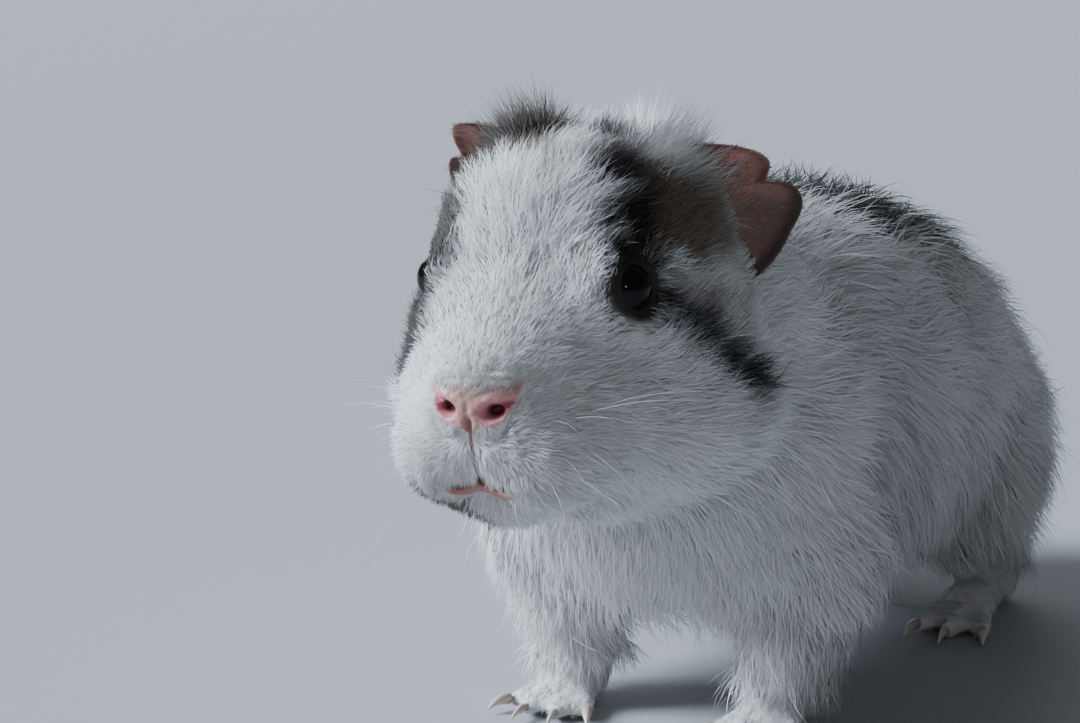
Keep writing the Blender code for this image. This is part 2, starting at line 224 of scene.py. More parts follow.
def ear_front(p):
    """1 on the fringe before the base of each ear, whose fine hairs reach over the ear's front edge."""
    return capsule(on_left(p), (19, 39, 113), (25, 42, 98), 4.0, 3.5)


def ear_hollow(p):
    """1 in the hollow before each ear, where the head falls in so that the ear's cup shows."""
    return capsule(on_left(p), (25, 49, 110), (28, 54, 98), 4.5, 4.0)


def ear_base(p):
    """1 along the front of each ear's root, where the hair is short and close so that the ear stands free."""
    return capsule(on_left(p), (25, 54, 111), (27, 54, 97), 5.5, 3.0)


def cheek_share(p):
    """1 on the full cheeks under the ears and along the jaw, where the head's coat falls over the neck."""
    side = np.abs(p[:, 0])
    full = ramp(side, 16, 30) * ramp(p[:, 2], 96, 80)
    jaw = ramp(p[:, 2], 74, 60)
    return np.maximum(full, jaw) * ramp(p[:, 1], 22, 44) * ramp(p[:, 1], 88, 72)


def nearer_eye(p):
    """For each point, the centre of the eye on its own side."""
    return np.where(p[:, :1] >= 0, EYE_LEFT, mirrored(EYE_LEFT, -1))


def eye_distance(p):
    """Distance in millimetres from the nearer eyeball."""
    return size_of(p - nearer_eye(p)) - EYE_RADIUS


def nose_distance(p):
    """Distance in millimetres from the middle of the nose pad."""
    return size_of(p - (0, 2.5, NOSE_UP - 1))


# %% The fields of the coat
def hair_length(p):
    """Length of the hair in millimetres, from the general to the particular.

    Each line below pulls the length towards its own number where its share is near 1. Round the eyes all
    hair is far shorter.
    """
    body = mix(22.0, 16.0, np.maximum(ramp(p[:, 2], 40, 22), chest_share(p)))
    length = mix(2.2, 9.0, ramp(nose_distance(p), 8, 40))
    for share, there in (
        (cheek_share(p), 15.0),
        (crown_share(p), 11.0),
        (ear_front(p), 7.5),
        (tuft_share(p), 22.0),
        (np.maximum(ear_base(p), ear_hollow(p)), 4.0),
        (body_share(p), body),
        (leg_share(p), 10.0),
        (foot_share(p), 2.2),
    ):
        length = mix(length, there, share)
    return length * mix(0.22, 1.0, ramp(eye_distance(p), 0.6, 10))


def hair_lift(p):
    """Angles in degrees between hair and skin, at the root and at the tip."""
    root = mix(36.0, 46.0, body_share(p))
    tip = mix(12.0, 16.0, body_share(p))
    for share, root_there, tip_there in (
        (chest_share(p) * body_share(p), 32.0, 9.0),
        (cheek_share(p), 46.0, 24.0),
        (crown_share(p), 54.0, 34.0),
        (ear_front(p), 38.0, 18.0),
        (tuft_share(p), 78.0, 58.0),
        (ear_base(p), 26.0, 10.0),
        (leg_share(p), 30.0, 10.0),
        (foot_share(p), 14.0, 4.0),
    ):
        root, tip = mix(root, root_there, share), mix(tip, tip_there, share)
    return root, tip


def coat_height(p):
    """How far the tips stand off the skin: the length times the mean sine of the lift."""
    root, tip = hair_lift(p)
    mean_sine = (np.sin(np.radians(root)) + np.sin(np.radians(tip))) / 2
    return hair_length(p) * mean_sine


MOUTH_DOWN = 15.1  # from the nose tip down to the mouth


def mouth_corner_rise(out):
    """How far the mouth's corners rise, over the distance from the middle plane."""
    return 1.3 * ramp(out, 4.5, 10.0)


def muzzle_marks(out, above):
    """The bare shapes of the muzzle over (distance from the middle plane, height above the nose tip).

    pad: the leather round both nostrils, straight above and drawn down to the groove below; groove: the
    split of the upper lip; mouth: the slit between the lips, which falls from the end of the groove and
    rises again to the corners; lower: the edge of the lower lip.
    """
    floor_line = mix(-5.2, 1.6, ramp(out, 4.4, 9.0)) + 0.9 * np.exp(-((out - 1.6) ** 2))
    pad = ramp(above - floor_line, -0.4, 0.5) * ramp(above, 4.4, 2.8) * ramp(out, 8.7, 7.9)
    groove = np.exp(-((out / 0.65) ** 2)) * ramp(above, -1.5, -3.5) * ramp(above, -15.0, -13.4)
    slit = above + MOUTH_DOWN - 1.3 * np.exp(-((out / 2.4) ** 2)) - mouth_corner_rise(out)
    mouth = np.exp(-((slit / 0.7) ** 2)) * ramp(out, 9.8, 7.4)
    lower = np.exp(-((out / 6.8) ** 4) - ((slit + 1.55) / 1.0) ** 2)
    return pad, groove, mouth, lower


def bare_share(p):
    """1 where no hair grows: the nose leather, the lips and the eyeballs."""
    pad, groove, mouth, lower = muzzle_marks(np.abs(p[:, 0]), p[:, 2] - NOSE_UP)
    front = ramp(p[:, 1], 13, 10)
    eyes = ramp(eye_distance(p), 0.75, 0.45)
    return np.maximum(front * np.clip(pad + 0.8 * groove + mouth + lower, 0, 1), eyes)


def hair_flow(p, normal):
    """The way the hair lies: out from the nose on the head, back and down on the body, down on the legs.

    Close to an eye it lies away from the eye.
    """
    from_nose = unit(p - (0, -7, NOSE_UP - 4))
    steep = np.abs(normal[:, 0])
    back = np.stack([np.zeros(len(p)), np.ones(len(p)), -0.15 - 0.75 * steep], -1)
    down = np.broadcast_to([0.0, 0.25, -1.0], p.shape)
    towards_toes = np.broadcast_to([0.0, -1.0, -0.35], p.shape)
    body = mix(back, down, np.maximum(0.75 * chest_share(p), ramp(p[:, 1], 226, 250))[:, None])
    way = mix(from_nose, body, body_share(p)[:, None])
    way = mix(way, down, leg_share(p)[:, None])
    way = mix(way, towards_toes, foot_share(p)[:, None])
    off_eye = unit(p - nearer_eye(p))
    way = way + 1.5 * off_eye * ramp(eye_distance(p), 5.5, 0.5)[:, None]
    flat = way - normal * (way * normal).sum(-1)[:, None]
    flat = unit(flat + (0, 1e-4, -1e-4))
    swirl = np.radians(mix(9.0, 24.0, body_share(p)) * waves(p, 34, 11) + 9.0 * waves(p, 11, 12))
    return np.cos(swirl)[:, None] * flat + np.sin(swirl)[:, None] * np.cross(normal, flat)


# %% [markdown]
# ## The markings
#
# White with slate patches. A blaze runs up the middle of the face. On the left a dark band comes down from
# the crown round the eye, and a narrow stripe leaves the eye's rear corner. The right side of the face is
# dark from ear to cheek, a dark tuft stands by the right ear, and a saddle lies over the back. Each mark is
# a few rounded strokes with a wavy, soft edge. A tuft reads the marks where its outer part lies, which is
# what is seen, and the skin reads them on the old outline.

# %% Marks on skin and coat
# Each stroke is (strength, start, end, radius, soft edge).
SLATE_STROKES = (
    (0.85, (7, 46, 125.5), (12.5, 36, 120.5), 3.4, 2.2),  # the band from the crown to the left eye
    (1.0, (14.5, 34, 117), (18, 30, 105), 6.0, 3.6),
    (1.0, (18, 30, 106), (19.5, 24, 100.5), 4.6, 2.0),
    (0.12, (19, 36, 111), (24.5, 43, 109), 5.0, 4.0),
    (1.0, (20.5, 28, 98.5), (23, 30, 96.5), 3.8, 2.8),  # the stripe behind that eye
    (1.0, (23, 30, 96.5), (28, 34, 91.5), 3.5, 2.8),
    (1.0, (28, 34, 91.5), (33, 43, 84.5), 4.1, 2.8),
    (1.0, (33, 43, 84.5), (36, 51, 79.5), 4.6, 2.8),
    (0.72, (-10, 43, 125), (-20, 54, 117), 7.0, 2.5),  # the tuft by the right ear
    (0.72, (-6, 37, 124), (-16, 42, 119), 4.6, 2.2),
    (0.5, (-10, 7, 62), (-5, 10, 57), 3.2, 1.8),  # a spot on the chin
)
BROWN_STROKES_BY_LEFT_EAR = (
    (0.95, (19, 37, 111.5), (26, 46, 107), 8.0, 3.5),
    (0.85, (23, 50, 115), (29, 57, 100), 6.0, 3.5),
    (0.8, (12, 42, 124), (14.5, 34, 117), 4.6, 3.0),
    (0.55, (25, 35, 96), (29, 50, 91), 4.5, 3.5),
)
BROWN_STROKES = (
    (0.9, (-11, 43, 125), (-20, 56, 114), 9.0, 3.0),
    (0.9, (-5, 36, 124), (-16, 41, 119), 6.0, 2.5),
    (0.95, (-10, 7, 62), (-5, 10, 57), 4.0, 1.8),
)


def strongest(p, strokes):
    """The strongest of some strokes at each point."""
    return np.max([strength * capsule(p, *stroke) for strength, *stroke in strokes], axis=0)


def marks(points):
    """How much slate and how much brown-grey each point of the coat carries, from 0 to 1."""
    p = points + 1.3 * waves_3d(points, 8, 21)
    ragged = p + 4.0 * waves_3d(points, 26, 24)
    side, back, up = ragged.T
    ticked = 0.5 + 0.5 * waves(points, 7, 27)
    right_edge = -9.5 - 0.28 * (113.6 - p[:, 2])
    cheek_patch = np.hypot((back - 38) / 25, (up - 101) / 20)
    right = ramp(p[:, 0], right_edge, right_edge - 4) * ramp(cheek_patch, 1.08, 0.92)
    saddle = np.hypot(side / 36, (back - 191) / 55)
    slate_marks = [
        strongest(p, SLATE_STROKES),
        mix(0.74, 0.94, ticked) * right,
        0.94 * ramp(saddle, 1.04, 0.9) * ramp(up, 83, 89),
        0.92 * ramp(eye_distance(points), 3.0, 1.4),
    ]
    pale_streak = capsule(p, (24, 34, 101), (28.5, 58, 95.5), 1.5, 2.5)
    brown_marks = [
        strongest(p, BROWN_STROKES_BY_LEFT_EAR) * (1 - 0.55 * pale_streak),
        strongest(p, BROWN_STROKES),
        mix(0.9, 0.45, ticked) * right,
        0.35 * ramp(saddle, 1.2, 1.0) * ramp(up, 80, 88),
        0.32 * ramp(nose_distance(p), 13, 6) * ramp(p[:, 2], 80, 84),
        0.95 * ramp(eye_distance(points), 3.4, 1.6),
    ]
    white_tuft = capsule(p, (16, 44, 126.5), (24, 53, 121), 6.0, 2.4)
    slate, brown = np.max(slate_marks, axis=0), np.max(brown_marks, axis=0)
    return slate * (1 - white_tuft), brown * (1 - 0.9 * white_tuft)


# %% [markdown]
# ## Meshes from arrays
#
# Every new piece is a set of points and triangles worked out as arrays. One helper puts them into a mesh.
# A second one lays a grid of points out as a surface.

# %% Mesh helpers
def read_array(rows, attribute, width, kind=np.float32):
    """One attribute of a mesh's elements, as an array with so many numbers in each row."""
    found = np.empty(len(rows) * width, dtype=kind)
    rows.foreach_get(attribute, found)
    return found.reshape(-1, width)


def write_array(rows, attribute, values, kind=np.float32):
    """Sets one attribute of a mesh's elements from an array."""
    rows.foreach_set(attribute, np.ascontiguousarray(values, dtype=kind).ravel())


def read_points(mesh):
    """The points of a mesh."""
    return read_array(mesh.vertices, "co", 3).astype(float)


def read_normals(mesh):
    """The normals of a mesh at its points."""
    return read_array(mesh.vertex_normals, "vector", 3).astype(float)


def new_piece(name, points, triangles, material, normals=None):
    """An object at the origin whose mesh holds these world points and triangles, shaded smooth."""
    mesh = bpy.data.meshes.new(name)
    mesh.vertices.add(len(points))
    write_array(mesh.vertices, "co", points)
    mesh.loops.add(len(triangles) * 3)
    write_array(mesh.loops, "vertex_index", triangles, np.int32)
    mesh.polygons.add(len(triangles))
    write_array(mesh.polygons, "loop_start", np.arange(0, len(triangles) * 3, 3), np.int32)
    mesh.update(calc_edges=True)
    mesh.shade_smooth()
    if normals is not None:
        mesh.normals_split_custom_set_from_vertices(np.ascontiguousarray(normals, dtype=np.float32))
    mesh.materials.append(material)
    piece = bpy.data.objects.new(name, mesh)
    bpy.context.scene.collection.objects.link(piece)
    return piece


def grid_triangles(rows, columns, wrap=False, flip=False):
    """Two triangles for each cell of a grid of points stored row by row.

    wrap joins the last column to the first, and flip turns the faces over.
    """
    i, j = np.meshgrid(np.arange(rows - 1), np.arange(columns if wrap else columns - 1), indexing="ij")
    k = (j + 1) % columns
    a, b, c, d = i * columns + j, i * columns + k, (i + 1) * columns + k, (i + 1) * columns + j
    triangles = np.concatenate([np.stack(half, -1).reshape(-1, 3) for half in ((a, b, c), (a, c, d))])
    return triangles[:, ::-1] if flip else triangles


def repeated(pattern, count, points_each):
    """The triangles of one small mesh for many of them, whose points follow one another."""
    first = np.arange(count) * points_each
    return (np.asarray(pattern)[None] + first[:, None, None]).reshape(-1, 3)


def set_colour(piece, name, values):
    """Stores four numbers for each point of a piece under a name that its material reads."""
    write_array(piece.data.attributes.new(name, "FLOAT_COLOR", "POINT").data, "color", values)


def paint(piece, name, colours):
    """Stores a colour of three numbers for each point of a piece."""
    flat = colours.reshape(-1, 3)
    set_colour(piece, name, np.concatenate([flat, np.ones((len(flat), 1))], -1))


def settle(piece):
    """Replaces an object's mesh by what its modifiers make of it, and takes them off."""
    graph = bpy.context.evaluated_depsgraph_get()
    mesh = bpy.data.meshes.new_from_object(piece.evaluated_get(graph))
    piece.modifiers.clear()
    piece.data = mesh
    mesh.name = piece.name


# %% [markdown]
# ## Materials
#
# Coat and skin share one node group that turns the stored marks into colours, so a dark patch is dark to
# the roots. White hair is not pure white: each tuft is a little warmer, greyer or brighter than the next.

# %% Node helpers
def shader_inputs(material):
    """The sockets of a material's Principled shader."""
    return material.node_tree.nodes["Principled BSDF"].inputs


def new_material(name, roughness, **constants):
    """A material with plain numbers on the sockets of its shader, which are named with _ for a space."""
    material = bpy.data.materials.new(name)
    material.use_nodes = True
    inputs = shader_inputs(material)
    inputs["Roughness"].default_value = roughness
    for socket, value in constants.items():
        inputs[socket.replace("_", " ")].default_value = value
    return material


def add_node(tree, kind, **settings):
    """One node with its settings and, under in_NAME, the values of its inputs."""
    node = tree.nodes.new(kind)
    for key, value in settings.items():
        if key.startswith("in_"):
            node.inputs[key[3:].replace("_", " ")].default_value = value
        else:
            setattr(node, key, value)
    return node


def feed(tree, socket, value):
    """Links a socket to another one, or gives it a plain number or colour."""
    if isinstance(value, bpy.types.NodeSocket):
        tree.links.new(value, socket)
    elif isinstance(value, (int, float)):
        socket.default_value = value
    else:
        socket.default_value = (*value, 1)


def mixed(tree, factor, first, second, blend="MIX"):
    """A colour mix whose inputs are sockets or plain colours. It returns its result socket."""
    node = add_node(tree, "ShaderNodeMix", data_type="RGBA", blend_type=blend)
    for number, value in ((0, factor), (6, first), (7, second)):
        feed(tree, node.inputs[number], value)
    return node.outputs[2]


def computed(tree, operation, *values):
    """A Math node whose inputs are sockets or numbers. It returns its result socket."""
    node = add_node(tree, "ShaderNodeMath", operation=operation)
    for socket, value in zip(node.inputs, values):
        feed(tree, socket, value)
    return node.outputs[0]


def read_colour(material, name):
    """Gives a material the colour that its mesh stores for each point under a name."""
    stored = add_node(material.node_tree, "ShaderNodeAttribute", attribute_name=name)
    feed(material.node_tree, shader_inputs(material)["Base Color"], stored.outputs["Color"])


def add_bump(material, kind, strength, height, **settings):
    """Roughens a surface by a texture over the piece's own space; height is in metres."""
    tree = material.node_tree
    place = tree.nodes.new("ShaderNodeTexCoord")
    texture = add_node(tree, kind, **settings)
    bump = add_node(tree, "ShaderNodeBump", in_Strength=strength, in_Distance=height)
    feed(tree, texture.inputs["Vector"], place.outputs["Object"])
    feed(tree, bump.inputs["Height"], texture.outputs[0])
    feed(tree, shader_inputs(material)["Normal"], bump.outputs["Normal"])


# %% The shared colour of skin and coat
WHITE_HAIR = (0.90, 0.89, 0.88)
CREAM_HAIR = (0.84, 0.79, 0.72)
SLATE_HAIR = (0.025, 0.020, 0.017)
BROWN_HAIR = (0.165, 0.108, 0.070)


def build_coat_colour():
    """A group that turns (slate, brown, along) and a tone for each tuft into the colour of the hair.

    A high tone is creamier and darker. The hair darkens towards its root by the share given as Root shade:
    this is painted shade of the coat's depth, where the hairs shade one another.
    """
    group = bpy.data.node_groups.new("coat_colour", "ShaderNodeTree")
    for name, kind in (("Marks", "Color"), ("Tone", "Float"), ("Root shade", "Float")):
        group.interface.new_socket(name, in_out="INPUT", socket_type=f"NodeSocket{kind}")
    group.interface.new_socket("Color", in_out="OUTPUT", socket_type="NodeSocketColor")
    given = group.nodes.new("NodeGroupInput").outputs
    result = group.nodes.new("NodeGroupOutput").inputs["Color"]
    split = group.nodes.new("ShaderNodeSeparateColor")
    feed(group, split.inputs[0], given["Marks"])
    slate, brown, along = split.outputs
    tone = given["Tone"]
    white = mixed(group, computed(group, "POWER", tone, 3.0), WHITE_HAIR, CREAM_HAIR)
    coloured = mixed(group, slate, mixed(group, brown, white, BROWN_HAIR), SLATE_HAIR)
    bright = computed(group, "MULTIPLY_ADD", tone, -0.30, 1.06)
    # Painted shade: each hair is darker towards its root, where the coat shades itself.
    from_root = computed(group, "POWER", along, 0.6)
    low = computed(group, "SUBTRACT", 1.0, given["Root shade"])
    span = computed(group, "SUBTRACT", 1.0, low)
    depth = computed(group, "MULTIPLY_ADD", from_root, span, low)
    level = computed(group, "MULTIPLY", bright, depth)
    shade = group.nodes.new("ShaderNodeCombineColor")
    for socket in shade.inputs[:3]:
        feed(group, socket, level)
    feed(group, result, mixed(group, 1.0, coloured, shade.outputs[0], "MULTIPLY"))
    return group


COAT_COLOUR = build_coat_colour()


def coat_material(name, roughness, root_shade):
    """Hair or furred skin, in the colour that both share."""
    material = new_material(name, roughness, Specular_IOR_Level=0.22)
    tree = material.node_tree
    stored = add_node(tree, "ShaderNodeAttribute", attribute_name="coat")
    colour = add_node(tree, "ShaderNodeGroup", node_tree=COAT_COLOUR)
    feed(tree, colour.inputs["Marks"], stored.outputs["Color"])
    feed(tree, colour.inputs["Tone"], stored.outputs["Alpha"])
    feed(tree, colour.inputs["Root shade"], root_shade)
    feed(tree, shader_inputs(material)["Base Color"], colour.outputs["Color"])
    return material


# Root shade is the share of painted shade deep in the coat, on hair and furred skin alike.
FUR = coat_material("fur", 0.6, 0.14)
FURRED_SKIN = coat_material("furred_skin", 0.75, 0.14)
add_bump(FURRED_SKIN, "ShaderNodeTexNoise", 0.5, 0.0006, in_Scale=900, in_Detail=6.0)
print("materials:", [m.name for m in bpy.data.materials if m.users])

# %% [markdown]
# ## The skin
#
# On the animal one skin runs from nose to feet. Here copies of the solids of flesh are swollen a little so
# that they overlap across the thin cuts, plugs close the sockets, and a voxel remesh makes one body of
# them. Each point then sinks along its normal by most of the height of the coat there: by less under the
# crown's tufts and on the withers, and further in the hollows before the ears.

# %% Join the solids of flesh
FLESH = ["head", "neck", "trunk"]
FLESH += [f"{kind}_{side}" for kind in ("foreleg", "hindleg", "forefoot", "hindfoot") for side in SIDES]
SKIN_GRID = 1.15
SWELL = 0.3
EYE_PLUG = (EYE_LEFT + (-2.4, 2.0, 0), (6.6, 11.0, 9.5))
EAR_PLUG = ((18.5, 57.5, 106.0), (6.5, 9.0, 14.0))

body = bmesh.new()
for node in FLESH:
    body.from_mesh(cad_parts[node].data)
bmesh.ops.remove_doubles(body, verts=body.verts, dist=1e-6)
body.normal_update()
for vertex, way in [(v, v.normal.copy()) for v in body.verts]:
    vertex.co += way * SWELL * MM


def add_plug(bm, centre, radii):
    """An egg of skin that fills a socket."""
    place = Matrix.Translation(Vector(to_world(centre))) @ Matrix.Diagonal((*(Vector(radii) * MM), 1))
    bmesh.ops.create_uvsphere(bm, u_segments=24, v_segments=16, radius=1, matrix=place)


for sign in SIDES.values():
    for centre, radii in (EYE_PLUG, EAR_PLUG):
        add_plug(body, mirrored(centre, sign), radii)
skin_mesh = bpy.data.meshes.new("skin")
body.to_mesh(skin_mesh)
body.free()
skin = bpy.data.objects.new("skin", skin_mesh)
bpy.context.scene.collection.objects.link(skin)
remesh = skin.modifiers.new("one_body", "REMESH")
remesh.mode = "VOXEL"
remesh.voxel_size = SKIN_GRID * MM
remesh.use_smooth_shade = True
relax = skin.modifiers.new("soften_the_cuts", "SMOOTH")
relax.factor = 0.5
relax.iterations = 10
settle(skin)
print("skin before sinking:", len(skin.data.vertices), "points", round(time.time() - started, 1), "s")

# %% Sink it under the coat
SINK_SHARE = 0.92
HOLLOW_DEPTH = 4.0

outline = to_animal(read_points(skin.data))
outward = read_normals(skin.data)
pad, groove, mouth, lower = muzzle_marks(np.abs(outline[:, 0]), outline[:, 2] - NOSE_UP)
clearance = (3.2 * pad + 1.2 * groove + 3.0 * mouth + 0.8 * lower) * ramp(outline[:, 1], 16, 13)
pressed = SINK_SHARE - 0.25 * tuft_share(outline) - 0.22 * withers_share(outline)
depth = coat_height(outline) * pressed + clearance + HOLLOW_DEPTH * ear_hollow(outline)
sunk = outline - outward * depth[:, None]
write_array(skin.data.vertices, "co", to_world(sunk))
skin.data.update()
relax = skin.modifiers.new("even_out", "SMOOTH")
relax.factor = 0.5
relax.iterations = 6
settle(skin)
skin.data.materials.clear()
skin.data.materials.append(FURRED_SKIN)
skin.data.shade_smooth()
skin_points = to_animal(read_points(skin.data))
slate, brown = marks(outline)
tone = 0.5 + 0.3 * waves(skin_points, 3, 31)
# An along of 0.25 gives the skin part of the hair's painted root shade.
set_colour(skin, "coat", np.stack([slate, brown, np.full(len(slate), 0.25), tone], -1))
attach(skin, "root")
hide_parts(*FLESH)
print("skin box:", skin_points.min(0).round(1), skin_points.max(0).round(1))

# %% Unwrap the skin
bpy.context.view_layer.objects.active = skin
skin.select_set(True)
bpy.ops.object.mode_set(mode="EDIT")
bpy.ops.mesh.select_all(action="SELECT")
bpy.ops.uv.smart_project(angle_limit=math.radians(66), island_margin=0.003)
bpy.ops.object.mode_set(mode="OBJECT")
skin.select_set(False)
skin.data.uv_layers[0].name = "OFBake"
print("unwrapped at", round(time.time() - started, 1), "s")

# %% [markdown]
# ## Where tufts are rooted
#
# Roots are spread over the skin's triangles by area and by how dense the coat is there. A root takes its
# place, normal and spot on the unwrap from the corners of its triangle, and also the place on the old
# outline that lies straight above it, where all the fields are read.

# %% Read the skin as triangles
skin.data.calc_loop_triangles()
corner_points = read_array(skin.data.loop_triangles, "vertices", 3, np.int32)
corner_loops = read_array(skin.data.loop_triangles, "loops", 3, np.int32)
skin_uv = read_array(skin.data.uv_layers[0].data, "uv", 2)
skin_normals = read_normals(skin.data)
corners = skin_points[corner_points]
outline_corners = outline[corner_points]
areas = size_of(np.cross(corners[:, 1] - corners[:, 0], corners[:, 2] - corners[:, 0])) / 2
centres = outline_corners.mean(1)
print("skin area", round(areas.sum() / 100), "square centimetres in", len(areas), "triangles")


def hair_density(p):
    """How thickly hair stands, as tufts for each square millimetre before a region's own count is met."""
    dense = mix(7.0, 2.0, body_share(p))
    dense = mix(dense, 9.0, ramp(nose_distance(p), 30, 10))
    dense = mix(dense, 30.0, tuft_share(p))
    dense = mix(dense, 5.0, leg_share(p))
    dense = mix(dense, 10.0, foot_share(p))
    return dense * (1 - bare_share(p))


# Name, tufts, segments in each tuft.
COATS = (
    ("coat_muzzle", 30000, 3),
    ("coat_face_left", 39000, 3),
    ("coat_face_right", 34000, 3),
    ("coat_crown", 39500, 3),
    ("coat_chest", 26500, 3),
    ("coat_back", 26500, 4),
    ("coat_flank_left", 27500, 4),
    ("coat_flank_right", 24000, 4),
    ("coat_belly_and_legs", 26000, 3),
)
MUZZLE, FACE_LEFT, FACE_RIGHT, CROWN, CHEST, BACK, FLANK_LEFT, FLANK_RIGHT, BELLY_AND_LEGS = range(len(COATS))


def regions(p):
    """The part of the coat that each point belongs to, as its place in COATS."""
    side, back, up = p.T
    on_body = back - 0.2 * (up - NOSE_UP) > 74
    low = (leg_share(p) > 0.4) | (up < 11.5) | (on_body & (up < 32))
    label = np.where(side > 0, FACE_LEFT, FACE_RIGHT)
    label = np.where((up > 103) & (back > 18), CROWN, label)
    label = np.where(back < 20, MUZZLE, label)
    label = np.where(on_body, np.where(side > 0, FLANK_LEFT, FLANK_RIGHT), label)
    label = np.where(on_body & (back < 112), CHEST, label)
    label = np.where(on_body & (up > 76), BACK, label)
    return np.where(low, BELLY_AND_LEGS, label)


region_of_triangle = regions(centres)
weight_of_triangle = areas * hair_density(centres)


def scatter_roots(region, count, rng):
    """Random roots on one region of the skin: place, place on the outline, normal, spot on the unwrap."""
    weight = weight_of_triangle * (region_of_triangle == region)
    reach = np.cumsum(weight)
    chosen = np.searchsorted(reach, rng.uniform(0, reach[-1], count))
    share = rng.dirichlet((1, 1, 1), count)
    place = (corners[chosen] * share[:, :, None]).sum(1)
    above = (outline_corners[chosen] * share[:, :, None]).sum(1)
    normal = unit((skin_normals[corner_points[chosen]] * share[:, :, None]).sum(1))
    spot = (skin_uv[corner_loops[chosen]] * share[:, :, None]).sum(1)
    keep = bare_share(above) < rng.uniform(0.3, 0.7, count)
    return place[keep], above[keep], normal[keep], spot[keep]


# %% [markdown]
# ## A tuft
#
# A tuft is a flat blade that leaves the skin at one angle and bends over to another, like a blade of grass.
# Neighbours lean together into small locks: space is cut into uneven cells, and every tuft rooted in a cell
# is drawn towards the middle of that cell as it rises. Its shading normals are rounded across the blade and
# lean towards the skin's own, which makes the coat read as soft hair and not as paper.

# %% Locks
def locks(p, cell, seed):
    """The lock of each root: its middle, and four random numbers that the roots of a lock share.

    A lock is a cell of an uneven grid. Large primes turn its place into one number, from which a quick sine
    draws the random ones.
    """
    key = np.floor((p + 0.45 * cell * waves_3d(p, cell * 2.3, seed)) / cell).astype(np.int64)
    number = (key[:, 0] * 73856093) ^ (key[:, 1] * 19349663) ^ (key[:, 2] * 83492791)
    _, lock, count = np.unique(number, return_inverse=True, return_counts=True)
    lock = lock.ravel()
    middle = np.stack([np.bincount(lock, p[:, k]) for k in range(3)], -1) / count[:, None]
    angle = number[:, None] * np.array([12.9898, 78.233, 37.719, 4.581]) * 1e-3
    chance = np.abs(np.sin(angle) * 43758.5453) % 1
    return middle[lock], chance


# %% Blades
UV_PATCH = 0.003  # how wide and how long a tuft is on the unwrap
EYE_OPENING = math.cos(0.98)
EYE_VIEW = 4.5  # how far in front of an eye no tuft crosses, in millimetres


def clear_of_eyes(line):
    """True for the tufts whose line never crosses the view out of an eye."""
    clear = np.ones(len(line), dtype=bool)
    for sign in SIDES.values():
        out_way, _, _ = eye_frame(sign)
        away = line - mirrored(EYE_LEFT, sign)
        distance = size_of(away)
        before = (away @ out_way) / distance > EYE_OPENING
        clear &= ~(before & (distance < EYE_RADIUS + EYE_VIEW)).any(1)
    return clear


def eye_frame(sign):
    """Three directions of an eye: out of the head, towards the nose along the lid slit, and up."""
    out_way = unit(np.array([0.90 * sign, -0.36, 0.16]))
    along_way = np.array([0.10 * sign, -1.0, -0.30])
    along_way = unit(along_way - out_way * (along_way @ out_way))
    return out_way, along_way, np.cross(along_way, out_way) * sign


def turned(first, second, angle):
    """Two square directions turned together by an angle for each row."""
    c, s = np.cos(angle)[:, None], np.sin(angle)[:, None]
    return c * first + s * second, c * second - s * first


def bend_lines(roots, coat, segments, rng):
    """The middle line of each tuft, and the directions across it and up from it at every level.

    The line is the sum of short steps, each along cos(a) * flow + sin(a) * normal, where a falls from the
    root's lift to the tip's. It leans towards the middle of its locks, sways, and hangs a little. It bends
    with the round body, whose radius is about 32 mm on the head and 46 mm behind it, and where it would
    stand more than a tenth above the coat it is pressed down to that height. The random numbers of the small
    and the big lock come back too.
    """
    place, above, normal, _ = roots
    flow, length, root_lift, tip_lift = coat
    count, levels = len(place), segments + 1
    reach = length * (np.sin(np.radians(root_lift)) + np.sin(np.radians(tip_lift))) / 2 + 0.3
    rough = body_share(above)
    big_middle, big = locks(place, mix(4.5, 9.0, rough.mean()), 41)
    small_middle, small = locks(place, mix(1.5, 2.8, rough.mean()), 47)

    stray = rng.random(count) < 0.05
    turn = 24 * (big[:, 0] - 0.5) + 30 * (small[:, 0] - 0.5) + rng.normal(0, 8 + 14 * stray, count)
    flow, side = turned(flow, np.cross(normal, flow), np.radians(turn))
    tilt = 8 * (big[:, 1] - 0.5) + 12 * (small[:, 1] - 0.5) + rng.normal(0, 4, count)
    length = length * (0.86 + 0.28 * small[:, 2]) * rng.uniform(0.68, 1.12, count) * (1 + 0.12 * stray)
    roll = np.radians(rng.normal(0, 28, count))
    wave = rng.uniform(0, 2 * math.pi, count)

    line, across, upright = np.empty((3, count, levels, 3))
    line[:, 0] = place
    for level in range(levels):
        share = level / segments
        angle = np.radians(np.clip(root_lift + (tip_lift - root_lift) * share**0.8 + tilt, 2, 88))
        way, up = turned(flow, normal, angle)
        upright[:, level] = up
        across[:, level], _ = turned(side, up, roll)
        if level < segments:
            line[:, level + 1] = line[:, level] + way * (length / segments)[:, None]

    share = np.linspace(0, 1, levels)[None]
    for middle, pull in ((small_middle, 0.55 * rng.random(count)), (big_middle, np.full(count, 0.12))):
        inward = middle - place
        inward -= normal * (inward * normal).sum(-1)[:, None]
        line += (inward * pull[:, None])[:, None] * share[..., None] ** 1.2
    sway = np.sin(wave[:, None] + 3.4 * share) - np.sin(wave)[:, None]
    line += side[:, None] * (0.07 * length[:, None] * sway)[..., None]
    line[:, :, 2] -= 0.05 * length[:, None] * share**2

    run = ((line - place[:, None]) * flow[:, None]).sum(-1)
    line -= (run**2 / (2 * mix(32, 46, rough)[:, None]))[..., None] * normal[:, None]
    height = ((line - place[:, None]) * normal[:, None]).sum(-1)
    limit = (1.1 + 0.04 * tuft_share(above)) * reach
    excess = np.maximum(height[:, -1] / limit, 1)
    line -= (height * (1 - 1 / excess)[:, None])[..., None] * normal[:, None]
    return line, across, upright, small, big


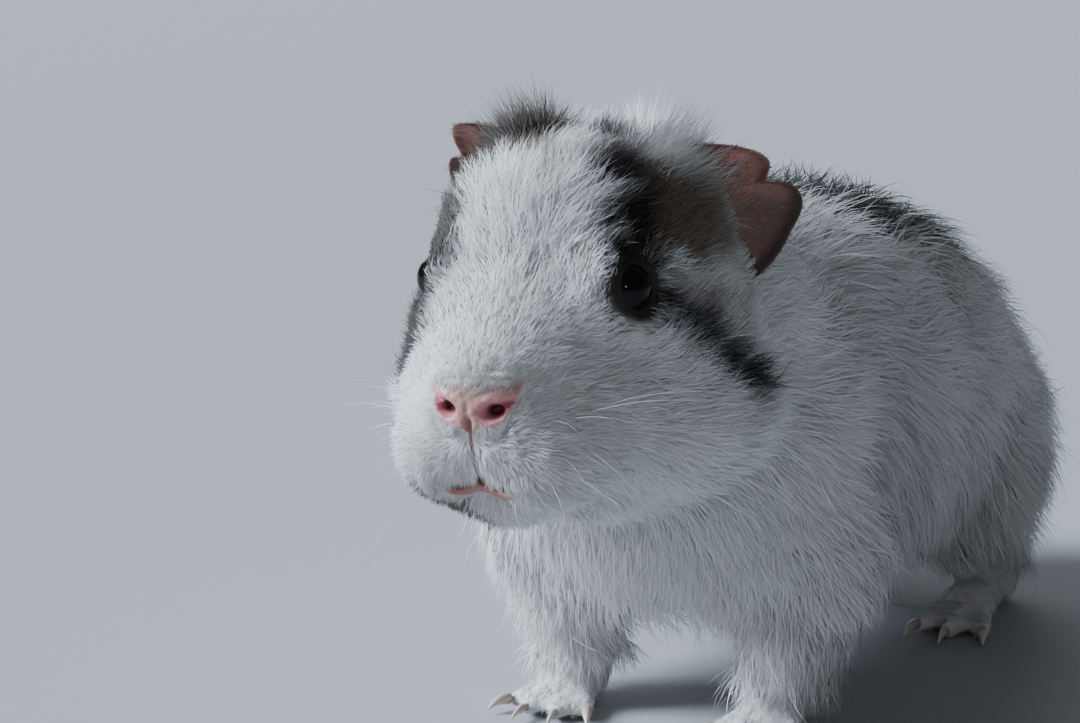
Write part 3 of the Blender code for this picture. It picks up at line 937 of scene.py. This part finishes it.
def blade_mesh(line, across, upright, normal, half):
    """Points, triangles and shading normals of flat blades whose two edges meet in the tip."""
    count, levels = line.shape[:2]
    segments = levels - 1
    edges = np.stack([line - across * half, line + across * half], 2)
    points = np.concatenate([edges[:, :-1].reshape(count, -1, 3), line[:, -1:]], 1)
    rounded = 0.4 * upright + 0.7 * normal[:, None]
    leaning = np.stack([unit(rounded - 0.3 * across), unit(rounded + 0.3 * across)], 2)
    normals = np.concatenate([leaning[:, :-1].reshape(count, -1, 3), unit(rounded)[:, -1:]], 1)
    pattern = [(2 * k + 1, 2 * k, 2 * k + 2) for k in range(segments)]
    pattern += [(2 * k + 1, 2 * k + 2, 2 * k + 3) for k in range(segments - 1)]
    return points, repeated(pattern, count, points.shape[1]), normals


def grow_tufts(name, roots, segments, width, rng, coat=None, shades=None):
    """Builds one coat piece from its roots: place, place on the outline, normal, spot on the unwrap.

    coat holds the flow, the length and the lift at root and tip, and shades how much slate and brown. Where
    they aren't given, both are read from the fields.
    """
    place, above, normal, spot = roots
    if coat is None:
        coat = (hair_flow(above, normal), hair_length(above), *hair_lift(above))
    line, across, upright, small, big = bend_lines(roots, coat, segments, rng)
    along = np.linspace(0, 1, segments + 1)
    spread = rng.uniform(0.7, 1.3, len(place))
    half = 0.5 * width[:, None, None] * spread[:, None, None] * (1 - 0.68 * along[None, :, None] ** 1.3)
    half[:, 0] *= 0.75
    keep = clear_of_eyes(line) & (line[:, :, 2] > 0.2).all(1)
    line, across, upright, half, normal, small, big, spot = (
        kept[keep] for kept in (line, across, upright, half, normal, small, big, spot)
    )
    count = len(line)
    points, triangles, normals = blade_mesh(line, across, upright, normal, half)
    piece = new_piece(name, to_world(points.reshape(-1, 3)), triangles, FUR, normals.reshape(-1, 3))

    seen_at = line[:, -2] + rng.normal(0, 0.9, (count, 3))
    slate, brown = marks(seen_at) if shades is None else (shade[keep] for shade in shades)
    tone = np.clip(0.2 * small[:, 3] + 0.15 * big[:, 3] + rng.uniform(0, 0.65, count), 0, 1)
    along_points = np.append(np.repeat(along[:-1], 2), 1.0)
    stored = np.empty((count, len(along_points), 4))
    stored[..., 0], stored[..., 1] = slate[:, None], brown[:, None]
    stored[..., 2], stored[..., 3] = along_points[None], tone[:, None]
    set_colour(piece, "coat", stored.reshape(-1, 4))

    across_points = np.append(np.tile([0.0, 1.0], segments), 0.5)
    patch = np.stack([across_points - 0.5, along_points - 0.5], -1) * UV_PATCH
    uv = (spot[:, None] + patch[None]).reshape(-1, 2)
    write_array(piece.data.uv_layers.new(name="OFBake").data, "uv", uv[triangles.ravel()])
    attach(piece, "root")
    return piece


# %% Grow the coat
def tuft_width(p):
    """How wide a tuft is at its root, in millimetres: narrowest round the nose, widest on the body."""
    width = mix(0.19, 0.28, body_share(p))
    width = mix(mix(width, 0.21, leg_share(p)), 0.13, foot_share(p))
    return mix(width, 0.15, ramp(nose_distance(p), 26, 10)) * 1.0


total = 0
for region, (name, count, segments) in enumerate(COATS):
    rng = np.random.default_rng(100 + region)
    roots = scatter_roots(region, count, rng)
    piece = grow_tufts(name, roots, segments, tuft_width(roots[1]), rng)
    total += len(piece.data.polygons)
    seconds = round(time.time() - started, 1)
    print(name, len(roots[0]), "roots", len(piece.data.polygons), "triangles", seconds, "s")
print("coat:", total, "triangles")

# %% [markdown]
# ## The bare nose and the lips
#
# A guinea pig's nose is a low pink pad, as wide as the two nostrils together. The nostrils are slanting
# commas, and a groove runs from between them down to the split upper lip. The pad is too fine for the
# skin's grid, so it is a patch of its own: the front of the head's solids as a height over side and up,
# with the dents taken away.

# %% The front of the muzzle as a formula
HEAD_TILT = math.radians(3.6)
MUZZLE_EGGS = (
    ((0, 6.5, -0.5), (9.5, 6.5, 8.5)),
    ((0, 19, -6), (18.5, 18, 16.5)),
    ((8.5, 13, -10.5), (11.5, 12, 10.5)),
    ((-8.5, 13, -10.5), (11.5, 12, 10.5)),
    ((0, 20, -18), (11.5, 14, 8)),
)


def muzzle_front(side, above):
    """How far behind the nose the head's front lies: the foremost of the eggs, blended softly.

    Beside its own outline an egg falls back steeply, so that it adds nothing there.
    """
    nearness = np.zeros_like(side)
    for (x, y, z), (a, b, c) in MUZZLE_EGGS:
        inside = 1 - ((side - x) / a) ** 2 - ((above - z) / c) ** 2
        front = y - b * np.sqrt(np.clip(inside, 0, 1)) + 25 * np.clip(-inside, 0, 1)
        nearness += np.exp(-front / 0.7)
    return -0.7 * np.log(nearness)


def on_muzzle(side, front, above):
    """Animal space from a place on the muzzle: to the side, behind the nose tip and above it."""
    back = front * math.cos(HEAD_TILT) - above * math.sin(HEAD_TILT)
    up = NOSE_UP + front * math.sin(HEAD_TILT) + above * math.cos(HEAD_TILT)
    return np.stack([side, back, up], -1)


def dent(u, v, centre, radii, turn=0.0):
    """A round dent of depth 1 at its middle, as long and wide as the radii, turned by an angle."""
    c, s = math.cos(turn), math.sin(turn)
    x, y = (u - centre[0]) * c + (v - centre[1]) * s, (v - centre[1]) * c - (u - centre[0]) * s
    return np.exp(-((x / radii[0]) ** 2 + (y / radii[1]) ** 2) ** 1.5)


# %% Nose leather
nose_leather = new_material(
    "nose_leather",
    0.42,
    Specular_IOR_Level=0.5,
    Subsurface_Weight=0.18,
    Subsurface_Radius=(0.0012, 0.0005, 0.0003),
)
add_bump(nose_leather, "ShaderNodeTexVoronoi", 0.35, 0.0002, in_Scale=1700.0, feature="DISTANCE_TO_EDGE")
read_colour(nose_leather, "leather")

PINK = np.array((0.72, 0.33, 0.35))
ROSE = np.array((0.56, 0.17, 0.18))
# Painted shade: the near-black red inside the nostrils and in the slit between the lips.
HOLE_SHADE = np.array((0.10, 0.012, 0.012))
# Painted shade: the dark red-brown in the crease of the split upper lip.
GROOVE_SHADE = np.array((0.30, 0.12, 0.11))
TAN = np.array((0.48, 0.27, 0.20))
LIP = np.array((0.40, 0.155, 0.135))
UNDERCOAT = np.array((0.80, 0.77, 0.76))


def painted(tint, colour, share):
    """The tint with a colour laid over it by a share."""
    return mix(tint, colour, np.clip(share, 0, 1)[..., None])


# %% Build the nose patch
PATCH_TOP, PATCH_BOTTOM, PATCH_SIDE = 6.5, -21.5, 13.0
PATCH_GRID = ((170, 148))


def build_nose():
    """The front of the muzzle as a grid over side and up, dented, creased and painted, with painted shade in
    the nostrils and the slit of the mouth.
    """
    rows, columns = PATCH_GRID
    above = np.linspace(PATCH_TOP, PATCH_BOTTOM, rows)
    above, side = np.meshgrid(above, np.linspace(-PATCH_SIDE, PATCH_SIDE, columns), indexing="ij")
    out = np.abs(side)
    pad, groove, mouth, lower = muzzle_marks(out, above)
    hole = dent(out, above, (4.3, -1.1), (1.75, 1.25), 0.25)
    slit = dent(out, above, (5.6, -0.2), (2.7, 0.62), 0.42)
    nostril = np.maximum(hole, 0.55 * slit)
    wing = dent(out, above, (5.4, 1.2), (3.0, 1.1), 0.25)
    wing = wing + 0.7 * dent(out, above, (5.2, -3.0), (2.6, 1.0), 0.35)
    septum = np.exp(-((side / 0.6) ** 2)) * ramp(above, 1.5, -0.5) * ramp(above, -5, -3)
    pillow = np.exp(-(((out - 2.9) / 2.3) ** 2 + ((above + 11.0) / 3.2) ** 2))
    front = muzzle_front(side, above)
    front = front + 3.0 * nostril - 0.35 * wing + 0.25 * septum
    front = front + 0.9 * groove + 1.7 * mouth - 0.5 * pillow - 0.4 * lower
    front = front + 0.04 * waves(np.stack([side, above, front], -1), 1.3, 51) * pad

    # The patch's rim and what lies under hair dive below the coat.
    edge = np.minimum(ramp(above, PATCH_TOP, PATCH_TOP - 2), ramp(above, PATCH_BOTTOM, PATCH_BOTTOM + 2))
    edge = np.minimum(ramp(out, 10.5, 8.5), edge)
    edge = np.maximum(edge, ramp(out, 12.4, 10.4) * ramp(np.abs(above + 16), 3.6, 2.2))
    covered = 1 - np.clip(1.5 * (pad + groove + mouth + lower), 0, 1)
    front = front + 0.85 * covered + 3.5 * (1 - edge)
    patch = on_muzzle(side, front, above).reshape(-1, 3)

    tint = painted(np.broadcast_to(UNDERCOAT, (*side.shape, 3)), PINK, pad)
    tint = painted(tint, TAN, 0.75 * pad * ramp(out, 3.0, 1.0) + 0.75 * ramp(above, 0.3, 2.6) * pad)
    tint = painted(tint, ROSE, 0.85 * dent(out, above, (4.9, -0.9), (3.0, 2.1), 0.3))
    # Painted shade along the groove of the upper lip.
    tint = painted(tint, GROOVE_SHADE, 0.85 * groove)
    tint = painted(tint, LIP, 1.4 * lower + mouth)
    # Painted shade in the nostril holes and the mouth's slit.
    tint = painted(tint, HOLE_SHADE, ramp(nostril, 0.35, 0.85) + 0.9 * ramp(mouth, 0.5, 0.95))
    triangles = grid_triangles(rows, columns, flip=True)
    nose = new_piece("nose_and_lips", to_world(patch), triangles, nose_leather)
    paint(nose, "leather", tint)
    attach(nose, "root")
    print("nose patch", len(triangles), "triangles, front at", patch[:, 1].min().round(2))


build_nose()


# %% Hairs round the nose
def muzzle_place(side, above):
    """The point on the muzzle's front over a place in the patch."""
    return on_muzzle(side, muzzle_front(side, above), above)


def nose_hair_chance(out, above):
    """1 above the pad, beside the groove, under the pad and round the mouth, and 0 on all that is bare."""
    pad, groove, mouth, lower = muzzle_marks(out, above)
    above_pad = ramp(above, 0.8, 4.2) * ramp(out, 8.5, 7)
    beside_groove = 0.9 * ramp(out, 4.6, 3.4) * ramp(above, -4.4, -5.4)
    pad_floor = np.abs(above + 4.4 - 4.6 * ramp(out, 4.4, 9.0))
    under_pad = ramp(pad_floor, 1.6, 0.6) * ramp(out, 1.5, 3)
    from_lips = np.abs(above + MOUTH_DOWN + 0.6 - mouth_corner_rise(out))
    round_mouth = ramp(from_lips, 3.4, 2.4) * ramp(out, 2.5, 4.5) * ramp(out, 11, 9.5)
    chance = np.maximum(np.maximum(above_pad, beside_groove), under_pad) * ramp(out, 8.6, 8.2)
    chance = np.maximum(chance, round_mouth) * (1 - np.clip(groove + 1.2 * mouth + lower, 0, 1))
    return chance * (1 - dent(out, above, (4.6, -0.9), (2.9, 1.9), 0.3))


def build_nose_down(rng, count):
    """Very short hairs that cross the pad's upper edge, both lips and the sides of the groove."""
    side, above = rng.uniform(-11.0, 11.0, count), rng.uniform(-19.0, 4.6, count)
    keep = rng.random(count) < nose_hair_chance(np.abs(side), above)
    side, above = side[keep], above[keep]
    count = len(side)
    place = muzzle_place(side, above)
    normal = unit(np.cross(muzzle_place(side, above + 0.2) - place, muzzle_place(side + 0.2, above) - place))
    normal = normal * -np.sign(normal[:, 1:2])
    pad = muzzle_marks(np.abs(side), above)[0]
    place = place + (0.85 * (1 - pad))[:, None] * -normal
    way = np.stack([side * 0.55, np.full(count, 0.4), above + 1.2 + 1.2 * np.sign(above + 1.2)], -1)
    flow = unit(way - normal * (way * normal).sum(-1)[:, None])
    length = mix(1.3, 2.4, ramp(np.abs(above + 1), 3, 8))
    spot = np.stack([0.5 + 0.02 * side, 0.5 + 0.02 * above], -1)
    coat = (flow, length, np.full(count, 34.0), np.full(count, 14.0))
    shades = (np.zeros(count), 0.28 * ramp(above, -2, 1) + 0.05)
    grow_tufts("nose_down", (place, place, normal, spot), 3, np.full(count, 0.10), rng, coat, shades)


build_nose_down(np.random.default_rng(200), 19000)

# %% [markdown]
# ## Eyes and lids
#
# The eye is almost black, with a wide pupil in a dark brown iris. It bulges, so that its outline is nearly
# round from the side, and thin brown lids hold it. A lid is a small ridge that starts against the ball,
# rises over the edge and dives under the hair.

# %% Eyeballs and lids
eye_wet = new_material("eye_wet", 0.09, Specular_IOR_Level=0.16)
read_colour(eye_wet, "iris")
lid_skin = new_material("lid_skin", 0.5, Specular_IOR_Level=0.2, Base_Color=(0.030, 0.018, 0.014, 1))
PUPIL = np.array((0.004, 0.003, 0.003))
IRIS = np.array((0.014, 0.008, 0.005))


def round_grid(rows, columns, start, end):
    """Two grids: rows from start to end, and columns once round."""
    turns = np.linspace(0, 2 * math.pi, columns, endpoint=False)
    return np.meshgrid(np.linspace(start, end, rows), turns, indexing="ij")


def round_eye(sign, radius, bend, turn):
    """World points at a radius from an eye's middle, at an angle from its axis and a turn round it."""
    out_way, along_way, up_way = eye_frame(sign)
    spread = radius * np.sin(bend)
    points = (radius * np.cos(bend))[..., None] * out_way
    points = points + (spread * np.cos(turn))[..., None] * along_way
    points = points + (spread * np.sin(turn))[..., None] * up_way
    return to_world(points + mirrored(EYE_LEFT, sign)).reshape(-1, 3)


def build_eyeball(name, sign):
    """A ball that bulges round its axis, with a dark pupil and a little lighter, flecked iris."""
    rows, columns = 40, 64
    bend, turn = round_grid(rows, columns, 0, math.pi)
    radius = EYE_RADIUS + 0.35 * np.exp(-((bend / 0.75) ** 2))
    triangles = grid_triangles(rows, columns, wrap=True, flip=sign > 0)
    ball = new_piece(f"eyeball_{name}", round_eye(sign, radius, bend, turn), triangles, eye_wet)
    flecks = 0.75 + 0.25 * np.sin(turn * 37) * np.sin(turn * 23)
    iris = ramp(bend, 0.62, 0.75) * ramp(bend, 1.25, 0.95) * flecks
    paint(ball, "iris", mix(PUPIL, IRIS, iris[..., None]))
    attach(ball, "root")
    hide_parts(f"eye_{name}")


def build_lids(name, sign):
    """A ridge round the ball's opening, drawn out a little at both corners of the eye."""
    rows, columns = 14, 72
    share, turn = round_grid(rows, columns, 0, 1)
    opening = 1.02 - 0.03 * np.cos(2 * turn) - 0.10 * np.exp(-((turn - 1.57) / 0.9) ** 2)
    front_corner = 0.10 * np.exp(-((np.abs(turn - math.pi) - math.pi) / 0.35) ** 2)
    rear_corner = 0.06 * np.exp(-((turn - math.pi) / 0.3) ** 2)
    opening = opening + front_corner + rear_corner
    rise = -0.25 + 1.35 * np.sin(math.pi * np.clip(share * 1.5, 0, 1)) ** 0.7 - 1.0 * ramp(share, 0.55, 1.0)
    points = round_eye(sign, EYE_RADIUS + rise, opening + 0.62 * share, turn)
    triangles = grid_triangles(rows, columns, wrap=True, flip=sign > 0)
    lid = new_piece(f"lids_{name}", points, triangles, lid_skin)
    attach(lid, "root")


for name, sign in SIDES.items():
    build_eyeball(name, sign)
    build_lids(name, sign)

# %% [markdown]
# ## Ears
#
# The ears are petals of thin skin. They hang out from the sides of the crown, with a notch in the rim and a
# cup that faces forward and out. Both faces are one formula over turn (around the root) and reach (root to
# rim); a rounded rim joins them.

# %% Ear surface
EAR_ROOT = (21.3, 55.6, 107.5)
EAR_REACH = 16.0
EAR_LEAN, EAR_SWING = math.radians(20), math.radians(32)
EAR_RAISED = {1: (0, 0, 0), -1: (0, 0, 2.6)}  # the right ear is pricked a little higher


def ear_surface(turn, reach, face):
    """A point of the left ear.

    turn is in degrees round the root, reach runs from 0 at the root to 1 at the rim, and face is 1 in front
    and -1 behind.
    """
    lobe = 2.0 * np.exp(-(((turn - 82) / 16) ** 2))
    notch = 3.4 * np.exp(-(((turn - 58) / 8) ** 2))
    rim = EAR_REACH - 0.9 * np.cos(np.radians(turn)) + lobe - notch
    flare = 3.0 * reach**4 * np.exp(-(((turn - 8) / 30) ** 2))
    cup = 4.2 * np.sin(math.pi * np.minimum(0.85 * reach, 1)) - flare
    folds = 0.35 * np.sin(np.radians(turn) * 7 + 2.5 * reach) * np.sin(math.pi * reach) ** 2
    roll = 0.7 * ramp(reach, 0.90, 1.0)
    half = 0.45 * (1 - 0.35 * reach**6)
    r = reach * rim
    x, y, z = r * np.sin(np.radians(turn)), cup + folds - roll - face * half, r * np.cos(np.radians(turn))
    c, s = math.cos(EAR_LEAN), math.sin(EAR_LEAN)
    y, z = y * c - z * s, y * s + z * c
    c, s = math.cos(EAR_SWING), math.sin(EAR_SWING)
    x, y = x * c - y * s, x * s + y * c
    return np.stack([x + EAR_ROOT[0], y + EAR_ROOT[1], z + EAR_ROOT[2]], -1)


# %% Ear leather
ear_leather = new_material(
    "ear_leather",
    0.55,
    Specular_IOR_Level=0.35,
    Subsurface_Weight=0.25,
    Subsurface_Radius=(0.002, 0.0007, 0.0004),
)
read_colour(ear_leather, "leather")
add_bump(ear_leather, "ShaderNodeTexNoise", 0.4, 0.0003, in_Scale=1100.0, in_Detail=5.0)

INSIDE_LOW, INSIDE_HIGH = np.array((0.26, 0.125, 0.098)), np.array((0.74, 0.34, 0.27))
OUTSIDE_DARK, OUTSIDE_LIGHT = np.array((0.16, 0.10, 0.09)), np.array((0.24, 0.155, 0.135))
EAR_BLOTCH = np.array((0.12, 0.075, 0.065))
EAR_RIM = np.array((0.070, 0.046, 0.038))


def ear_tint(p, turn, reach, front):
    """The colour of an ear: pinker inside and above, blotched, and darker towards the rim."""
    rim = ramp(reach, 0.80, 0.97)
    blotch = 0.5 + 0.5 * waves(p, 6, 61)
    high = ramp(turn, 90, 40)
    inner = mix(INSIDE_LOW, INSIDE_HIGH, high[:, None])
    inner = mix(inner, EAR_BLOTCH, (0.4 * blotch)[:, None])
    outer = mix(OUTSIDE_DARK, OUTSIDE_LIGHT, blotch[:, None])
    tint = np.where(front[:, None], inner, outer)
    return mix(tint, EAR_RIM, (mix(0.8, 0.4, high) * rim)[:, None])


# %% Build the ears
def build_ear(name, sign):
    """Front face from root to rim, then the back face from rim to root: one closed sheet."""
    rows, columns = 36, 96
    share = np.concatenate([np.linspace(0.0, 1, rows), np.linspace(1, 0.0, rows)])
    face = np.concatenate([np.ones(rows), -np.ones(rows)])
    flat = np.zeros(rows - 3)
    round_rim = np.concatenate([flat, [0.0, 0.1, 0.45], [0.45, 0.1, 0.0], flat])
    turn, reach = np.meshgrid(np.linspace(-24, 174, columns), share, indexing="xy")
    face = np.broadcast_to((face * (1 - round_rim))[:, None], turn.shape)
    p = ear_surface(turn, reach, face).reshape(-1, 3)
    points = to_world(p * (sign, 1, 1) + EAR_RAISED[sign])
    triangles = grid_triangles(2 * rows, columns, flip=sign < 0)
    piece = new_piece(f"ear_flap_{name}", points, triangles, ear_leather)
    paint(piece, "leather", ear_tint(p, turn.ravel(), reach.ravel(), (face > 0).ravel()))
    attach(piece, "root")
    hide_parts(f"ear_{name}")


def ear_hairs(name, sign, rng, count=3000):
    """Short fine hairs on both faces of an ear, more of them behind, and longest near the root."""
    face = np.where(rng.random(count) < 0.28, 1.0, -1.0)
    turn = rng.uniform(-22, 164, count)
    reach = np.sqrt(rng.uniform(0.01, 1, count))
    p = ear_surface(turn, reach, face)
    ahead = ear_surface(turn, np.minimum(reach + 0.02, 1.02), face)
    beside = ear_surface(turn + 1, reach, face)
    normal = unit(np.cross(ahead - p, beside - p))
    normal = normal * np.sign(((p - ear_surface(turn, reach, -face)) * normal).sum(-1))[:, None]
    flow = unit(ahead - p)
    p, normal, flow = p * (sign, 1, 1) + EAR_RAISED[sign], normal * (sign, 1, 1), flow * (sign, 1, 1)
    length = mix(3.2, 1.3, ramp(reach, 0.2, 0.95))
    spot = np.stack([0.02 + 0.2 * reach, 0.02 + 0.9 * (turn + 24) / 190], -1)
    shades = (0.6 * ramp(reach, 0.75, 0.95), rng.uniform(0.75, 1.0, count))
    coat = (flow, length, np.full(count, 16.0), np.full(count, 6.0))
    grow_tufts(f"ear_hair_{name}", (p, p, normal, spot), 3, np.full(count, 0.12), rng, coat, shades)


for name, sign in SIDES.items():
    build_ear(name, sign)
    ear_hairs(name, sign, np.random.default_rng(300 + sign))

# %% [markdown]
# ## Whiskers
#
# Long white whiskers stand in rows on the whisker pads. Each is a thin tube of three sides that tapers to a
# point and droops.

# %% Whiskers
WHISKER_ROWS, WHISKERS_IN_ROW, WHISKERS_IN_TOP_ROW = 5, 7, 4
WIDEST = 59  # how far from the middle plane a whisker reaches at most, in millimetres
whisker_horn = new_material("whisker_horn", 0.4, Specular_IOR_Level=0.6, Base_Color=(0.88, 0.87, 0.85, 1))


def sweep_tubes(lines, radii, sides):
    """Tubes round many lines at once. lines: (count, steps, 3); radii: (count, steps)."""
    along = unit(np.gradient(lines, axis=1))
    first = unit(np.cross(along, (0.3, 0.2, 0.93)))
    second = np.cross(along, first)
    turn = np.linspace(0, 2 * math.pi, sides, endpoint=False)
    ring = np.cos(turn)[:, None] * first[:, :, None] + np.sin(turn)[:, None] * second[:, :, None]
    points = lines[:, :, None] + ring * radii[:, :, None, None]
    count, steps = radii.shape
    return points.reshape(-1, 3), repeated(grid_triangles(steps, sides, wrap=True), count, steps * sides)


def build_whiskers(name, sign, rng):
    """The whiskers of one side. place counts them backwards along a row, and row counts downwards."""
    row = np.repeat(np.arange(WHISKER_ROWS), [WHISKERS_IN_TOP_ROW] + [WHISKERS_IN_ROW] * (WHISKER_ROWS - 1))
    place = np.arange(len(row)) - np.searchsorted(row, row)
    count, steps = len(row), 16
    root = np.stack([8.0 + 2.3 * place, 9.0 + 1.1 * place, 75.5 - 2.9 * row + 0.5 * place], -1)
    root = root + rng.normal(0, 0.4, (count, 3))
    way = np.stack([np.full(count, 0.75), -0.42 + 0.20 * place, 0.28 - 0.26 * row], -1)
    way = unit(way + rng.normal(0, 0.10, (count, 3)))
    length = (15 + 4.0 * place) * rng.uniform(0.7, 1.15, count)
    share = np.linspace(0, 1, steps)[None, :, None]
    bend = rng.normal(0, 0.10, (count, 1, 3)) + (0, 0.12, -0.30)
    lines = root[:, None] + length[:, None, None] * (way[:, None] * share + bend * share**2.2)
    radii = 0.085 * (1 - 0.85 * share[..., 0]) * rng.uniform(0.75, 1.15, (count, 1))
    lines[..., 0] = np.minimum(lines[..., 0], WIDEST)
    points, triangles = sweep_tubes(lines, radii, 3)
    if sign > 0:
        triangles = triangles[:, ::-1]
    piece = new_piece(f"whiskers_{name}", to_world(points * (sign, 1, 1)), triangles, whisker_horn)
    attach(piece, "root")
    print("whiskers", name, "reach", points.max(0).round(1))


for name, sign in SIDES.items():
    build_whiskers(name, sign, np.random.default_rng(400 + sign))

# %% [markdown]
# ## Claws
#
# Four claws on each fore foot and three on each hind foot are horn, pale, and darker towards the root. Each
# one is a cone that arches from root to tip and replaces the solid at its place.

# %% Claws
claw_horn = new_material("claw_horn", 0.28, Specular_IOR_Level=0.5, Coat_Weight=0.3)
read_colour(claw_horn, "horn")
HORN_ROOT, HORN_TIP = np.array((0.42, 0.26, 0.22)), np.array((0.78, 0.68, 0.58))


def build_claw(node):
    """A tapering cone from the rear of a claw's solid to its front, almost as thick as the solid."""
    low, high = (to_animal(corner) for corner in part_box(node))
    solid = to_animal(read_points(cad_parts[node].data))
    rear = solid[solid[:, 1] > np.quantile(solid[:, 1], 0.75)].mean(0)
    front = solid[solid[:, 1] < np.quantile(solid[:, 1], 0.10)].mean(0)
    steps, sides = 14, 12
    share = np.linspace(0, 1, steps)[None, :, None]
    line = mix(rear - (front - rear) * 0.25, front, share) + np.array([0, 0, 0.7]) * np.sin(math.pi * share)
    radii = 0.5 * min(high[2] - low[2], high[0] - low[0]) * 0.92 * (1 - 0.9 * share[..., 0] ** 1.8)
    points, triangles = sweep_tubes(line, radii, sides)
    points[:, 2] = np.maximum(points[:, 2], 0.15)
    piece = new_piece(f"horn_{node}", to_world(points), triangles[:, ::-1], claw_horn)
    along = np.repeat(np.linspace(0, 1, steps), sides)[:, None]
    paint(piece, "horn", mix(HORN_ROOT, HORN_TIP, along**0.7))
    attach(piece, "root")
    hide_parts(node)


for node in [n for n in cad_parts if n.startswith("claw_")]:
    build_claw(node)

# %% [markdown]
# ## Studio
#
# A plain pale floor, a large cool light from the camera's upper left, a weak one from behind and a pale
# world keep the shadows soft. A small lamp above the camera's line of sight makes the glint in the eye.
# The camera stands in front of the animal's left cheek, a little above the nose.

# %% Where the camera looks
AZIMUTH, ELEVATION = math.radians(25), math.radians(9)
CAMERA_DISTANCE = 0.40
level = math.cos(ELEVATION)
towards = Vector((math.sin(AZIMUTH) * level, -math.cos(AZIMUTH) * level, math.sin(ELEVATION)))
right = Vector((math.cos(AZIMUTH), math.sin(AZIMUTH), 0))
upward = towards.cross(right)
aim = Vector((0, NOSE_Y, NOSE_UP * MM)) + right * 12.34 * MM + upward * 7.26 * MM

# %% Floor and light
floor_paint = new_material("floor_paint", 0.8, Base_Color=(0.42, 0.43, 0.44, 1))
bpy.ops.mesh.primitive_plane_add(size=60)
floor = bpy.context.object
floor.name = "studio_floor"
floor.data.materials.append(floor_paint)


def add_sun(name, way, strength, spread, colour):
    """A soft sun: way points from the animal to the sun, and spread is its width in degrees."""
    lamp = bpy.data.lights.new(name, "SUN")
    lamp.energy, lamp.angle, lamp.color = strength, math.radians(spread), colour
    light = bpy.data.objects.new(name, lamp)
    light.rotation_euler = way.to_track_quat("Z", "Y").to_euler()
    light.location = aim + way.normalized() * 0.8
    bpy.context.scene.collection.objects.link(light)
    return light


key = add_sun("key_light", -0.85 * right + 0.55 * upward + 0.05 * towards, 7.7, 30, (0.74, 0.86, 1.0))
back_light = add_sun("back_light", -0.1 * right + 0.6 * upward - 0.8 * towards, 0.8, 50, (0.86, 0.92, 1.0))
catch = bpy.data.objects.new("catch_light", bpy.data.lights.new("catch_light", "AREA"))
catch.data.energy, catch.data.size = 0.30, 0.038
catch.location = aim + right * 0.06 + upward * 0.12 + towards * 0.78
catch.rotation_euler = (catch.location - aim).to_track_quat("Z", "Y").to_euler()
bpy.context.scene.collection.objects.link(catch)

world = bpy.data.worlds.new("pale_room")
world.use_nodes = True
room = world.node_tree
background = room.nodes["Background"].inputs
background["Color"].default_value = (0.78, 0.86, 0.96, 1)
strength = add_node(room, "ShaderNodeMapRange", in_To_Min=0.13, in_To_Max=0.70)
feed(room, strength.inputs["Value"], room.nodes.new("ShaderNodeLightPath").outputs["Is Camera Ray"])
feed(room, background["Strength"], strength.outputs["Result"])
bpy.context.scene.world = world

# %% Camera
camera = bpy.data.objects.new("camera", bpy.data.cameras.new("camera"))
camera.matrix_world = Matrix((right, upward, towards)).transposed().to_4x4()
camera.location = aim + towards * CAMERA_DISTANCE
camera.data.lens, camera.data.sensor_width, camera.data.clip_start = 52.4, 23.6, 0.01
bpy.context.scene.collection.objects.link(camera)
bpy.context.scene.camera = camera

# %% The sizes, and the end
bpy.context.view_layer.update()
print("solids:", [[round(v * 1000, 1) for v in c] for c in solid_box])
print("seconds", round(time.time() - started, 1))
